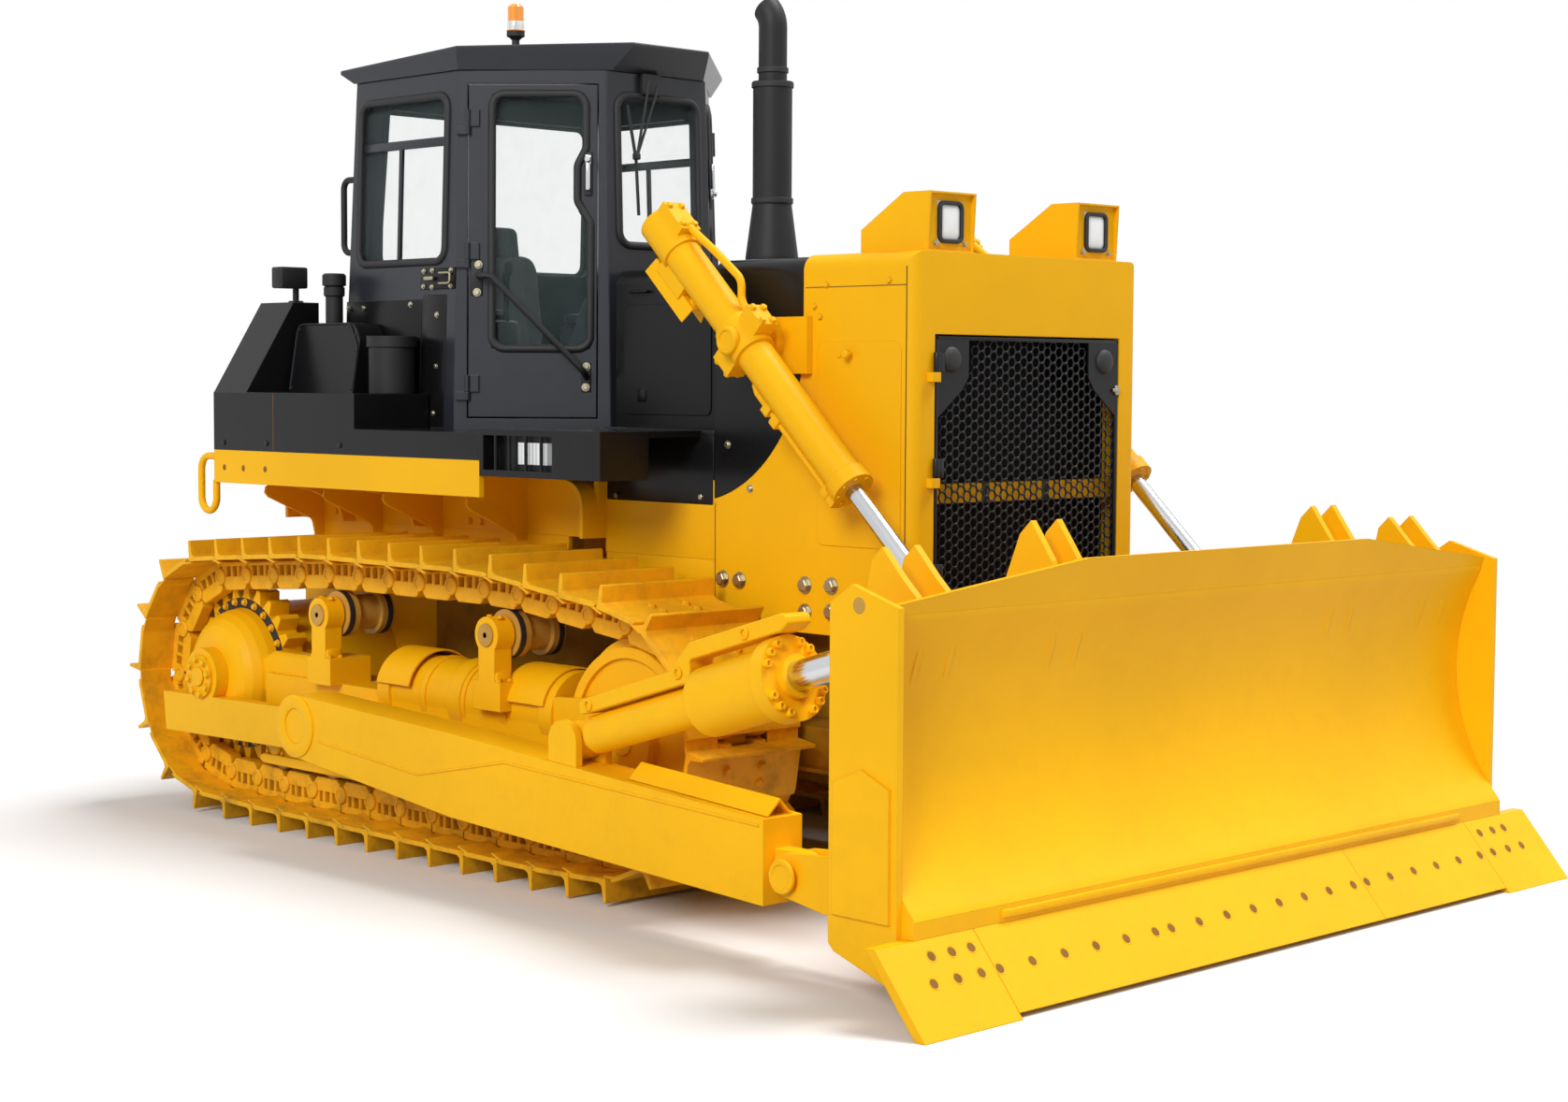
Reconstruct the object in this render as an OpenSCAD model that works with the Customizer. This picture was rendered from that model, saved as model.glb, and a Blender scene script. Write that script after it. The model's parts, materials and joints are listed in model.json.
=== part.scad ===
// Track-type bulldozer with a straight tilting blade, a six-sided cab and side-mounted lift cylinders.
// X runs forward, Y to the machine's left and Z up. The origin lies on the ground below the middle
// of the machine's length. Every place called x below is measured forward from the sprocket axis.

/* [Overall] */
// Blade tip ahead of the sprocket axis
blade_tip_x = 4898; // [4850:2:4950]
// Drawbar's rear face behind the sprocket axis
drawbar_reach = 620; // [600:2:660]
// Play between faces that seat on one another
seat = 0.2; // [0.1:0.05:0.3]
// Radial play of a pin in its bore
pin_play = 0.06; // [0.02:0.01:0.09]
// Overrun of a cut past the face it opens
lap = 4; // [2:0.5:8]

/* [Tracks] */
// Distance between the two track centre lines
track_gauge = 2000; // [1980:2:2020]
// Width of a track shoe
shoe_w = 560; // [520:4:580]
// Shoes in one track
shoe_count = 38; // [37:1:39]
// Sprocket axis to idler axis
axle_spread = 2715; // [2690:1:2740]
// Pitch radius of the chain on the sprocket
sprocket_r = 437; // [430:1:444]
// Pitch radius of the chain on the idler
idler_r = 420; // [412:1:428]
// Height of the chain's pitch line over the carrier rollers
carrier_path_z = 1107; // [1095:1:1120]
// Place of the rear carrier roller
carrier_rear_x = 820; // [800:1:840]
// Front carrier roller behind the idler axis
carrier_front_set = 745; // [725:1:765]
// Radius of a carrier roller
carrier_r = 105; // [95:1:112]
// Radius of a track roller
roller_r = 110; // [104:1:114]
// Place of the rearmost track roller
roller_first_x = 400; // [392:1:410]
// Foremost track roller behind the idler axis
roller_set = 405; // [390:1:425]
// Track rollers on one side
roller_count = 6; // [5:1:6]
// Height of a shoe's lug
grouser_h = 73; // [60:1:80]

/* [Undercarriage] */
// Ground clearance under the belly
belly_z = 405; // [390:1:420]
// Half width of the main hull
hull_half = 430; // [420:1:440]
// Width of a track frame's beam
beam_w = 240; // [228:1:252]
// Height of a track frame's beam
beam_h = 190; // [175:1:205]
// Radius of the recoil spring's tube
recoil_r = 150; // [140:1:156]

/* [Hood] */
// Front face of the radiator guard
guard_front_x = 3690; // [3670:1:3710]
// Length of the guard's lower side
guard_l = 1030; // [1010:1:1050]
// Half width of the guard over its side plates
guard_half = 640; // [632:1:648]
// Top of the guard
guard_top_z = 2396; // [2380:1:2410]
// Thickness of the hood's and guard's plates
guard_t = 25; // [20:1:30]
// Half width of the grille
grille_half = 519; // [505:1:530]
// Top of the grille
grille_top_z = 2095; // [2080:1:2110]
// Bottom of the grille
grille_low_z = 1150; // [1130:1:1170]

/* [Platform] */
// Outer edge of a fender from the centre plane
fender_out = 1150; // [1135:1:1165]
// Rear end of the fenders behind the sprocket axis
fender_reach = 74; // [60:1:90]
// Front end of the fenders' yellow beams
fender_front_x = 1853; // [1840:1:1866]
// Front end of the lamp boxes
lamp_box_front_x = 2585; // [2560:1:2610]
// Top of the fenders' deck
deck_z = 1615; // [1605:1:1625]
// Height of a fender's edge beam
fender_beam_h = 145; // [135:1:155]

/* [Cab] */
// Rear wall of the cab
cab_rear_x = 360; // [345:1:375]
// Corner between the side wall and the door wall
cab_corner_x = 1168; // [1150:1:1186]
// Front wall of the cab
cab_front_x = 1646; // [1634:1:1658]
// Half width of the cab over its side walls
cab_half = 760; // [752:1:768]
// Half width of the front wall
cab_nose_half = 298; // [285:1:311]
// Top of the cab's walls
cab_top_z = 3225; // [3205:1:3245]
// Inward lean of each wall from floor to roof
cab_lean = 50; // [40:1:60]
// Thickness of the cab's walls
cab_wall = 55; // [48:1:62]
// Width of a door
door_w = 540; // [525:1:552]
// Lower edge of the doors
door_low_z = 1775; // [1765:1:1790]
// Upper edge of the doors
door_top_z = 3165; // [3150:1:3175]

/* [Lift cylinders] */
// Cylinder's distance from the centre plane
lift_y = 800; // [792:1:808]
// Yoke pivot ahead of the sprocket axis
lift_pivot_x = 2997; // [2985:1:3010]
// Height of the yoke pivot
lift_pivot_z = 2078; // [2066:1:2090]
// Rod eye ahead of the sprocket axis
lift_eye_x = 4220; // [4205:1:4235]
// Height of the rod eye
lift_eye_z = 921; // [905:1:935]
// Outer radius of the barrel
lift_barrel_r = 70; // [66:1:74]
// Radius of the rod
lift_rod_r = 33; // [30:1:36]

/* [Blade] */
// Half width over the end bits
blade_half = 1862; // [1845:1:1880]
// Height of the blade's raised middle
blade_top_z = 1364; // [1350:1:1378]
// Height of the blade at its ends
blade_end_z = 1252; // [1240:1:1264]
// Radius of the blade's face
face_r = 709; // [695:1:725]
// Thickness of the blade's plates
blade_t = 25; // [20:1:30]
// Outer face of the end plates from the centre plane
end_plate_out = 1715; // [1705:1:1725]

/* [Push arms] */
// Inner face of a push arm from the centre plane
arm_in = 1340; // [1330:1:1350]
// Width of a push arm
arm_w = 180; // [170:1:190]
// Trunnion ahead of the sprocket axis
trunnion_x = 1119; // [1110:1:1128]
// Height of the trunnion
trunnion_z = 527; // [520:1:534]
// Radius of the trunnion
trunnion_r = 70; // [64:1:76]
// Blade pin ahead of the sprocket axis
blade_pin_x = 3948; // [3940:1:3956]
// Height of the blade pin
blade_pin_z = 316; // [310:1:322]
// Radius of the blade pin
blade_pin_r = 38; // [34:1:42]

/* [Tilt cylinder and brace] */
// Rear pin ahead of the sprocket axis
tilt_pin_x = 2808; // [2800:1:2816]
// Height of the rear pin
tilt_pin_z = 640; // [634:1:646]
// Rod eye ahead of the sprocket axis
tilt_eye_x = 4290; // [4282:1:4298]
// Height of the rod eye
tilt_eye_z = 1072; // [1064:1:1080]
// Outer radius of the tilt cylinder
tilt_barrel_r = 122; // [116:1:126]
// Radius of the tilt cylinder's rod
tilt_rod_r = 52; // [48:1:56]

/* [Hidden] */
$fn = 64;

// Colours
paint = "#f0b400";
dark = "#33353a";
steel = "#9a9a98";
chrome = "#d8d8d8";
black = "#1c1d1f";
glass = "#a9c4cc";
amber = "#ff8a1e";

// Middle of the machine's length
mid_x = (blade_tip_x - drawbar_reach)/2;
half_gauge = track_gauge/2;
carrier_front_x = axle_spread - carrier_front_set;
roller_last_x = axle_spread - roller_set;

// Chain section, from the pitch line inwards and outwards
link_in = 62;
link_out = 75;
shoe_t = 20;
shoe_gap = 3;
grouser_t = 26;
grouser_tip_t = 14;
rail_in = 55;
rail_out = 115;
rail_w = rail_out - rail_in;
link_lap = 8;
link_notch_w = 14;
link_notch_h = 58;
tip_h = link_out + shoe_t + grouser_h;
sprocket_rise = 10;
idler_rise = 12;
sprocket_z = sprocket_r + tip_h + sprocket_rise;
idler_z = idler_r + tip_h + idler_rise;
roller_z = tip_h + link_in + roller_r;
carrier_z = carrier_path_z - link_in - carrier_r;

// The chain's path: circles in the order in which the chain runs over them, as x, z and radius
path_circles = [
  [0, sprocket_z, sprocket_r],
  [carrier_rear_x, carrier_z, carrier_r + link_in],
  [carrier_front_x, carrier_z, carrier_r + link_in],
  [axle_spread, idler_z, idler_r],
  [roller_last_x, roller_z, roller_r + link_in],
  [roller_first_x, roller_z, roller_r + link_in]
];
path_n = len(path_circles);
function path_circle(i) = path_circles[(i + path_n) % path_n];
function path_mid(i) = [path_circle(i)[0], path_circle(i)[1]];
// Outward normal of the straight run that leaves circle i
function run_normal(i) =
  let (d = path_mid(i + 1) - path_mid(i), l = norm(d), u = d/l,
    k = (path_circle(i)[2] - path_circle(i + 1)[2])/l)
  [-u[1], u[0]]*sqrt(1 - k*k) + u*k;
function angle_of(v) = atan2(v[1], v[0]);
function run_start(i) = path_mid(i) + path_circle(i)[2]*run_normal(i);
function run_vector(i) = path_mid(i + 1) + path_circle(i + 1)[2]*run_normal(i) - run_start(i);
function arc_sweep(i) = (angle_of(run_normal(i - 1)) - angle_of(run_normal(i)) + 720) % 360;
function arc_length(i) = path_circle(i)[2]*arc_sweep(i)*PI/180;
function stage_length(i) = arc_length(i) + norm(run_vector(i));
function stage_start(i) = i == 0 ? 0 : stage_start(i - 1) + stage_length(i - 1);
path_length = stage_start(path_n);
// Point of the path at distance s, searched stage by stage
function path_point(s, i = 0) =
  i < path_n - 1 && s >= stage_start(i + 1) ? path_point(s, i + 1) :
  let (rest = s - stage_start(i), arc = arc_length(i))
  rest < arc
    ? let (a = angle_of(run_normal(i - 1)) - rest/path_circle(i)[2]*180/PI)
     path_mid(i) + path_circle(i)[2]*[cos(a), sin(a)]
    : run_start(i) + run_vector(i)/norm(run_vector(i))*(rest - arc);
track_pitch = path_length/shoe_count;
pins = [for (k = [0 : shoe_count - 1]) path_point(k*track_pitch)];
// Half angle that one link spans on a wheel of radius r
function link_half_angle(r) = asin(track_pitch/2/r);
sprocket_root_r = sprocket_r*cos(link_half_angle(sprocket_r)) - link_in - seat;
idler_rim_r = idler_r*cos(link_half_angle(idler_r)) - link_in - seat;

// Track frame
run_gap = 20;
beam_low_z = roller_z + roller_r + run_gap/2;
beam_top_z = beam_low_z + beam_h;
drive_case_share = 0.86;
drive_case_r = sprocket_root_r*drive_case_share;
idler_flange = 38;
tooth_proud = 30;
beam_rear_x = sprocket_root_r + tooth_proud + run_gap;
plate_rear_x = drive_case_r + run_gap/2;
beam_front_x = axle_spread - idler_rim_r - idler_flange - run_gap;
beam_in = half_gauge - beam_w/2;
beam_out = half_gauge + beam_w/2;
side_plate_t = 25;
roller_shaft_r = 42;
guard_low_z = 268;
recoil_rear_x = 1180;
recoil_front_x = beam_front_x;
fork_t = 30;
idler_shaft_r = 55;
hub_cap_r = 95;
hub_ring = 30;
support_in = 1210;
support_t = 62;
support_out = support_in + support_t;
support_rear_x = -319;
support_front_x = 900;
support_h = 173;
support_low_z = 350;
support_leg_w = 180;
chain_sag = 9;
tread_play = 2;
pedestal_w = 84;
pedestal_gap = 8;
pedestal_in = half_gauge + rail_out + pedestal_gap;
carrier_shaft_r = 45;

// Hull
case_rear_x = -440;
case_front_x = 600;
case_low_z = 430;
case_top_z = 1250;
sill_top_z = 1000;
sill_low_z = 640;
sill_w = 110;
frame_set = 130;
frame_front_x = guard_front_x - frame_set;
belly_t = 35;
equalizer_x = 2120;
equalizer_w = 130;
equalizer_h = 120;
equalizer_drop = 60;
drawbar_bore_r = 26;
drawbar_w = 150;
drawbar_t = 45;
drawbar_gap = 90;
drawbar_z = 640;

// Hood parting lines
hood_rear_x = 1692;
hood_half = 310;
hood_low_z = 1500;
guard_cap_l = 550;
guard_rear_x = guard_front_x - guard_l;
hood_front_x = guard_front_x - guard_cap_l;
hood_skirt_z = 2150;
hood_drop = 6;
hood_shoulder_r = 60;
guard_corner_r = 48;
cover_front_x = hood_front_x;
cover_low_z = 1465;
cover_corner_r = 625;
cover_gap = 2;
panel_low_z = 1245;
panel_top_z = 1550;

// Cab outline
function cab_points() = [
  [cab_rear_x, -cab_half], [cab_corner_x, -cab_half], [cab_front_x, -cab_nose_half],
  [cab_front_x, cab_nose_half], [cab_corner_x, cab_half], [cab_rear_x, cab_half]
];
floor_t = 65;
cab_low_z = deck_z + floor_t;
cab_rise = cab_top_z - cab_low_z;
lean_angle = atan(cab_lean/cab_rise);
door_wall = [cab_front_x - cab_corner_x, cab_half - cab_nose_half];
door_wall_w = norm(door_wall);
door_wall_angle = atan2(door_wall[1], door_wall[0]);
door_gap = 6;
door_edge = (door_wall_w - door_w)/2;

// Lift cylinder
lift_reach = norm([lift_eye_x - lift_pivot_x, lift_eye_z - lift_pivot_z]);
lift_angle = atan2(lift_eye_z - lift_pivot_z, lift_eye_x - lift_pivot_x);

// Tilt cylinder and brace
arm_mid = arm_in + arm_w/2;
tilt_reach = norm([tilt_eye_x - tilt_pin_x, tilt_eye_z - tilt_pin_z]);
tilt_angle = atan2(tilt_eye_z - tilt_pin_z, tilt_eye_x - tilt_pin_x);

// Helpers
module machine() { translate([-mid_x, 0, 0]) children(); }
module mirrored() { mirror([0, 1, 0]) children(); }
module both_sides() {
  children();
  mirrored() children();
}
// Raises an outline drawn in x and z into a plate between two distances from the centre plane
module plate(near, far) {
  translate([0, far, 0]) rotate([90, 0, 0]) linear_extrude(far - near) children();
}
// Round bar along Y
module bar(x, z, r, near, far) {
  translate([x, near, z]) rotate([-90, 0, 0]) cylinder(h = far - near, r = r);
}
// Block between two corners
module block(low, high) { translate(low) cube(high - low); }
// Frame whose X axis climbs at an angle in the XZ plane
module inclined(x, y, z, angle) { translate([x, y, z]) rotate([0, -angle, 0]) children(); }
// Round bar along the local X axis
module shaft(start, end, r) { translate([start, 0, 0]) rotate([0, 90, 0]) cylinder(h = end - start, r = r); }
// Runs an outline drawn in y and z along X
module along(rear, front) {
  translate([rear, 0, 0]) rotate([90, 0, 90]) linear_extrude(front - rear) children();
}
// Bend of a round bar in the XZ plane about a centre, from one angle through a sweep
module bend(x, z, bend_r, r, from, sweep) {
  translate([x, 0, z]) rotate([90, -from, 0]) rotate_extrude(angle = sweep) translate([bend_r, 0])
    circle(r = r);
}

// Undercarriage

module chain_outline() {
  for (k = [0 : shoe_count - 1]) {
    from = pins[k];
    to = pins[(k + 1) % shoe_count];
    half = norm(to - from)/2;
    translate((from + to)/2) rotate(angle_of(to - from)) {
      translate([-half - link_lap, link_notch_h - link_in])
        square([2*(half + link_lap), link_in + link_out - link_notch_h]);
      translate([link_notch_w/2 - half, -link_in])
        square([2*half - link_notch_w, link_notch_h + lap]);
    }
  }
}

module shoe_outline() {
  for (k = [0 : shoe_count - 1]) {
    from = pins[k];
    to = pins[(k + 1) % shoe_count];
    half = norm(to - from)/2 - shoe_gap;
    translate((from + to)/2) rotate(angle_of(to - from)) polygon([
      [-half, link_out], [half, link_out], [half, link_out + shoe_t],
      [-half + grouser_t, link_out + shoe_t], [-half + grouser_tip_t, tip_h], [-half, tip_h]
    ]);
  }
}

module track() {
  plate(half_gauge - shoe_w/2, half_gauge + shoe_w/2) shoe_outline();
  for (side = [-1, 1])
    translate([0, side*(rail_in + rail_out)/2, 0])
      plate(half_gauge - rail_w/2, half_gauge + rail_w/2) chain_outline();
}

module track_right() { color(paint) machine() mirrored() track(); }
module track_left() { color(paint) machine() track(); }

guard_window_low = 60;
guard_window_top_share = 0.62;
guard_window_foot_share = 0.3;
saddle_t = 14;
saddle_w = 80;
saddle_share = 0.42;
post_w = 100;
head_r = 72;
base_h = 110;
base_l = 170;
module track_frame() {
  step = (roller_last_x - roller_first_x)/(roller_count - 1);
  // Beam and the plates that carry the rollers, opened between them
  block([beam_rear_x, beam_in, beam_low_z], [beam_front_x, beam_out, beam_top_z]);
  for (y = [beam_in - side_plate_t, beam_out]) plate(y, y + side_plate_t) difference() {
    translate([plate_rear_x, guard_low_z])
      square([roller_last_x + roller_r - plate_rear_x, beam_top_z - guard_low_z]);
    for (k = [0 : roller_count - 2]) translate([roller_first_x + (k + 0.5)*step, 0]) polygon([
      [-step*guard_window_foot_share, guard_low_z + guard_window_low],
      [step*guard_window_foot_share, guard_low_z + guard_window_low],
      [step*guard_window_foot_share*guard_window_top_share, beam_low_z],
      [-step*guard_window_foot_share*guard_window_top_share, beam_low_z]
    ]);
  }
  // Recoil tube, its saddles and the idler fork
  translate([0, half_gauge, beam_top_z]) {
    shaft(recoil_rear_x, recoil_front_x, recoil_r);
    for (x = [recoil_rear_x, recoil_rear_x + (recoil_front_x - recoil_rear_x)*saddle_share,
      recoil_front_x - saddle_w])
      shaft(x, x + saddle_w, recoil_r + saddle_t);
  }
  difference() {
    for (y = [beam_in - fork_t, beam_out])
      plate(y, y + fork_t) hull() {
        translate([axle_spread, idler_z]) circle(r = recoil_r, $fn = 32);
        translate([recoil_front_x, beam_top_z - recoil_r/2]) square([fork_t, recoil_r]);
      }
    bar(axle_spread, idler_z, idler_shaft_r + pin_play, 0, support_out);
  }
  // Pedestals of the carrier rollers
  for (x = [carrier_rear_x, carrier_front_x]) difference() {
    union() {
      block([x - base_l/2, half_gauge, beam_top_z - lap],
         [x + base_l/2, pedestal_in + pedestal_w, beam_top_z + base_h]);
      block([x - post_w/2, pedestal_in, beam_top_z], [x + post_w/2, pedestal_in + pedestal_w, carrier_z]);
      bar(x, carrier_z, head_r, pedestal_in, pedestal_in + pedestal_w);
    }
    bar(x, carrier_z, carrier_shaft_r + pin_play, pedestal_in - lap, pedestal_in + pedestal_w + lap);
  }
  // Trunnion that carries the push arm
  bar(trunnion_x, trunnion_z, trunnion_r, beam_out, arm_in + arm_w);
  // Outboard support of the sprocket shaft
  difference() {
    plate(support_in, support_out) {
      polygon([
        [support_rear_x, support_low_z + support_h], [support_rear_x + run_gap, support_low_z],
        [support_front_x, support_low_z + run_gap], [support_front_x, support_low_z + run_gap + support_h]
      ]);
      translate([0, sprocket_z]) circle(r = hub_cap_r + hub_ring);
    }
    bar(0, sprocket_z, hub_cap_r + pin_play, support_in - lap, support_out + lap);
  }
  block([support_front_x - support_leg_w, beam_out, beam_low_z],
     [support_front_x, support_in + lap, support_low_z + support_h]);
}

module track_frames() { color(paint) machine() both_sides() track_frame(); }

dome_root_share = 0.8;
dome_tip_share = 0.42;
dome_steps = 6;
hub_cap_out = 12;
wheel_play = 4;
tooth_count = 25;
tooth_root_share = 0.93;
tooth_foot_w = 62;
tooth_tip_w = 26;
module sprocket_outline() {
  foot = sprocket_root_r*tooth_root_share;
  tip = sprocket_root_r + tooth_proud;
  circle(r = foot);
  for (k = [0 : tooth_count - 1]) rotate(k*360/tooth_count)
    polygon([[foot - lap, -tooth_foot_w/2], [tip, -tooth_tip_w/2], [tip, tooth_tip_w/2],
      [foot - lap, tooth_foot_w/2]]);
}
module final_drive() {
  wheel_in = half_gauge - rail_in + wheel_play;
  wheel_out = half_gauge + rail_in - wheel_play;
  dome_h = support_in - seat - wheel_out;
  root = sprocket_root_r*dome_root_share;
  tip = sprocket_root_r*dome_tip_share;
  // Case, toothed wheel, domed outer cover and hub
  bar(0, sprocket_z, drive_case_r, hull_half, wheel_in);
  plate(wheel_in, wheel_out) translate([0, sprocket_z]) sprocket_outline();
  translate([0, wheel_out, sprocket_z]) rotate([-90, 0, 0]) rotate_extrude() polygon(concat(
    [[0, 0]],
    [for (k = [0 : dome_steps]) [tip + (root - tip)*cos(90*k/dome_steps), dome_h*sin(90*k/dome_steps)]],
    [[0, dome_h]]
  ));
  bar(0, sprocket_z, hub_cap_r, support_in - lap, support_out + hub_cap_out);
}

module final_drives() { color(paint) machine() both_sides() final_drive(); }

shaft_end = 8;
idler_dish = 16;
idler_dish_out_share = 0.88;
idler_dish_in_share = 0.45;
module idler() {
  difference() {
    bar(axle_spread, idler_z, idler_rim_r, beam_in + seat, beam_out - seat);
    for (y = [beam_in + seat - lap, beam_out - seat - idler_dish]) difference() {
      bar(axle_spread, idler_z, idler_rim_r*idler_dish_out_share, y, y + idler_dish + lap);
      bar(axle_spread, idler_z, idler_rim_r*idler_dish_in_share, y - lap, y + idler_dish + 2*lap);
    }
  }
  bar(axle_spread, idler_z, idler_rim_r + idler_flange, half_gauge - rail_in + wheel_play,
    half_gauge + rail_in - wheel_play);
  bar(axle_spread, idler_z, idler_shaft_r, beam_in - fork_t - shaft_end, beam_out + fork_t + shaft_end);
}

module idlers() { color(paint) machine() both_sides() idler(); }

// Roller with two treads under the chain's rails and a waist between them
waist_share = 0.78;
module roller(x, z, r) {
  bar(x, z, r, half_gauge - rail_out, half_gauge - rail_in);
  bar(x, z, r*waist_share, half_gauge - rail_in, half_gauge + rail_in);
  bar(x, z, r, half_gauge + rail_in, half_gauge + rail_out);
}

module carrier_rollers() {
  color(steel) machine() both_sides()
    for (x = [carrier_rear_x, carrier_front_x]) {
      roller(x, carrier_z, carrier_r - chain_sag);
      bar(x, carrier_z, carrier_shaft_r, half_gauge + rail_out, pedestal_in + pedestal_w + shaft_end);
    }
}

module track_rollers() {
  step = (roller_last_x - roller_first_x)/(roller_count - 1);
  color(steel) machine() both_sides()
    for (k = [0 : roller_count - 1]) {
      roller(roller_first_x + k*step, roller_z, roller_r - tread_play);
      bar(roller_first_x + k*step, roller_z, roller_shaft_r, beam_in + seat, beam_out - seat);
    }
}

// Hull

nose_set = 120;
nose_l = 520;
nose_w = 250;
nose_h = 150;
nose_low_z = 512;
nose_foot_t = 16;
module main_frame() {
  color(paint) machine() {
    both_sides()
      block([case_front_x + seat, hull_half - sill_w, sill_low_z], [frame_front_x, hull_half, sill_top_z]);
    block([frame_front_x - sill_w, -hull_half, sill_low_z], [frame_front_x, hull_half, sill_top_z]);
    block([case_front_x + seat, -hull_half, belly_z], [frame_front_x - sill_w, hull_half, belly_z + belly_t]);
    both_sides()
      block([case_front_x + seat, hull_half - belly_t, belly_z],
        [frame_front_x - sill_w, hull_half, sill_low_z]);
    // Brackets beside the nose, each with a foot flange
    both_sides() {
      block([frame_front_x - nose_set - nose_l, hull_half - lap, nose_low_z],
         [frame_front_x - nose_set, hull_half + nose_w, nose_low_z + nose_h]);
      block([frame_front_x - nose_set - nose_l, hull_half - lap, nose_low_z - nose_foot_t],
         [frame_front_x - nose_set + nose_foot_t, hull_half + nose_w + nose_foot_t, nose_low_z]);
    }
    // Equalizer bar that ties the hull to the track frames
    block([equalizer_x - equalizer_w/2, -(beam_in - side_plate_t - seat),
      beam_top_z - equalizer_drop - equalizer_h],
       [equalizer_x + equalizer_w/2, beam_in - side_plate_t - seat, beam_top_z - equalizer_drop]);
  }
}

case_slope = 160;
module rear_case() {
  color(paint) machine() {
    plate(-(hull_half - seat), hull_half - seat) polygon([
      [case_rear_x, case_low_z + case_slope], [case_rear_x + case_slope, case_low_z],
      [case_front_x, case_low_z], [case_front_x, case_top_z],
      [case_rear_x + case_slope, case_top_z], [case_rear_x, case_top_z - case_slope]
    ]);
  }
}

clevis_share = 1.4;
module drawbar() {
  color(paint) machine() difference() {
    union() {
      for (z = [drawbar_z - drawbar_gap/2 - drawbar_t, drawbar_z + drawbar_gap/2])
        translate([case_rear_x - seat, 0, z]) linear_extrude(drawbar_t) union() {
          translate([-(drawbar_reach + case_rear_x) + drawbar_w/2, 0]) circle(r = drawbar_w/2);
          translate([-(drawbar_reach + case_rear_x) + drawbar_w/2, -drawbar_w/2])
            square([drawbar_reach + case_rear_x - drawbar_w/2, drawbar_w]);
        }
      block([case_rear_x - seat - drawbar_t, -drawbar_w, drawbar_z - drawbar_gap*clevis_share],
         [case_rear_x - seat, drawbar_w, drawbar_z + drawbar_gap*clevis_share]);
    }
    translate([-drawbar_reach + drawbar_w/2, 0, drawbar_z - drawbar_gap/2 - drawbar_t - lap])
      cylinder(h = drawbar_gap + 2*(drawbar_t + lap), r = drawbar_bore_r);
  }
}

engine_rear_x = 1900;
engine_set = 610;
engine_front_x = frame_front_x - engine_set;
engine_half = 275;
engine_top_z = 2060;
engine_foot_h = 90;
module engine_block() {
  foot_z = sill_top_z + seat;
  color(dark) machine() {
    block([engine_rear_x, -engine_half, foot_z], [engine_front_x, engine_half, engine_top_z]);
    // Mounting feet on the sills
    block([engine_rear_x, -hull_half, foot_z], [engine_front_x, hull_half, foot_z + engine_foot_h]);
  }
}

// Hood and radiator guard

// Side cover's outline, with a large round lower front corner
module cover_outline(grow) {
  intersection() {
    translate([cover_front_x - cover_corner_r, cover_low_z + cover_corner_r]) {
      circle(r = cover_corner_r + grow, $fn = 96);
      square([cover_corner_r + grow, hood_skirt_z - cover_low_z - cover_corner_r]);
    }
    translate([guard_rear_x - grow, cover_low_z - grow])
      square([cover_front_x - guard_rear_x + 2*grow, hood_skirt_z - cover_low_z + grow]);
  }
}

module side_covers() {
  color(dark) machine() both_sides() {
    plate(guard_half - guard_t, guard_half) cover_outline(0);
    // Rear wall beside the narrow hood
    block([guard_rear_x, hood_half + seat, hood_low_z],
      [guard_rear_x + guard_t, guard_half - lap, hood_skirt_z]);
  }
}

// Plan of the guard, with round front corners
module guard_plan(inset) {
  r = guard_corner_r - inset;
  front = guard_front_x - inset;
  half = guard_half - inset;
  translate([guard_rear_x - inset, -half]) square([front - r - guard_rear_x + inset, 2*half]);
  translate([guard_rear_x - inset, r - half]) square([front - guard_rear_x + inset, 2*(half - r)]);
  for (side = [-1, 1]) translate([front - r, side*(half - r)]) circle(r = r);
}
// Cross-section of guard and hood, with round shoulders
module hood_section(wide, inset) {
  r = hood_shoulder_r - inset;
  half = wide - inset;
  top = guard_top_z - inset;
  low = sill_top_z - inset;
  translate([-half, low]) square([2*half, top - r - low]);
  translate([r - half, low]) square([2*(half - r), top - low]);
  for (side = [-1, 1]) translate([side*(half - r), top - r]) circle(r = r);
}
module guard_solid(inset) {
  intersection() {
    translate([0, 0, sill_top_z - inset]) linear_extrude(guard_top_z - sill_top_z + inset) guard_plan(inset);
    along(guard_rear_x - inset, guard_front_x) hood_section(guard_half, inset);
  }
}

band_set = 70;
band_t = 40;
band_low_z = 1490;
band_h = 70;
module radiator_guard() {
  color(paint) machine() {
    difference() {
      guard_solid(0);
      guard_solid(guard_t);
      // Room for the hood, the side covers and the grille
      plate(-guard_half - lap, guard_half + lap) {
        cover_outline(cover_gap);
        translate([guard_rear_x - lap, hood_skirt_z - lap])
          square([hood_front_x - guard_rear_x + lap, guard_top_z - hood_skirt_z + 2*lap]);
      }
      block([guard_front_x - guard_t - lap, -grille_half - door_gap, grille_low_z - door_gap],
         [guard_front_x + lap, grille_half + door_gap, grille_top_z + door_gap]);
    }
    // Foot plate, hinge pins and the band behind the grille
    block([frame_front_x - 2*sill_w, lap - guard_half, sill_top_z],
       [guard_front_x - guard_corner_r, guard_half - lap, sill_top_z + guard_t]);
    grille_pins();
    block([guard_front_x - band_set - band_t, lap - guard_half, band_low_z],
       [guard_front_x - band_set, guard_half - lap, band_low_z + band_h]);
  }
}

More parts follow.
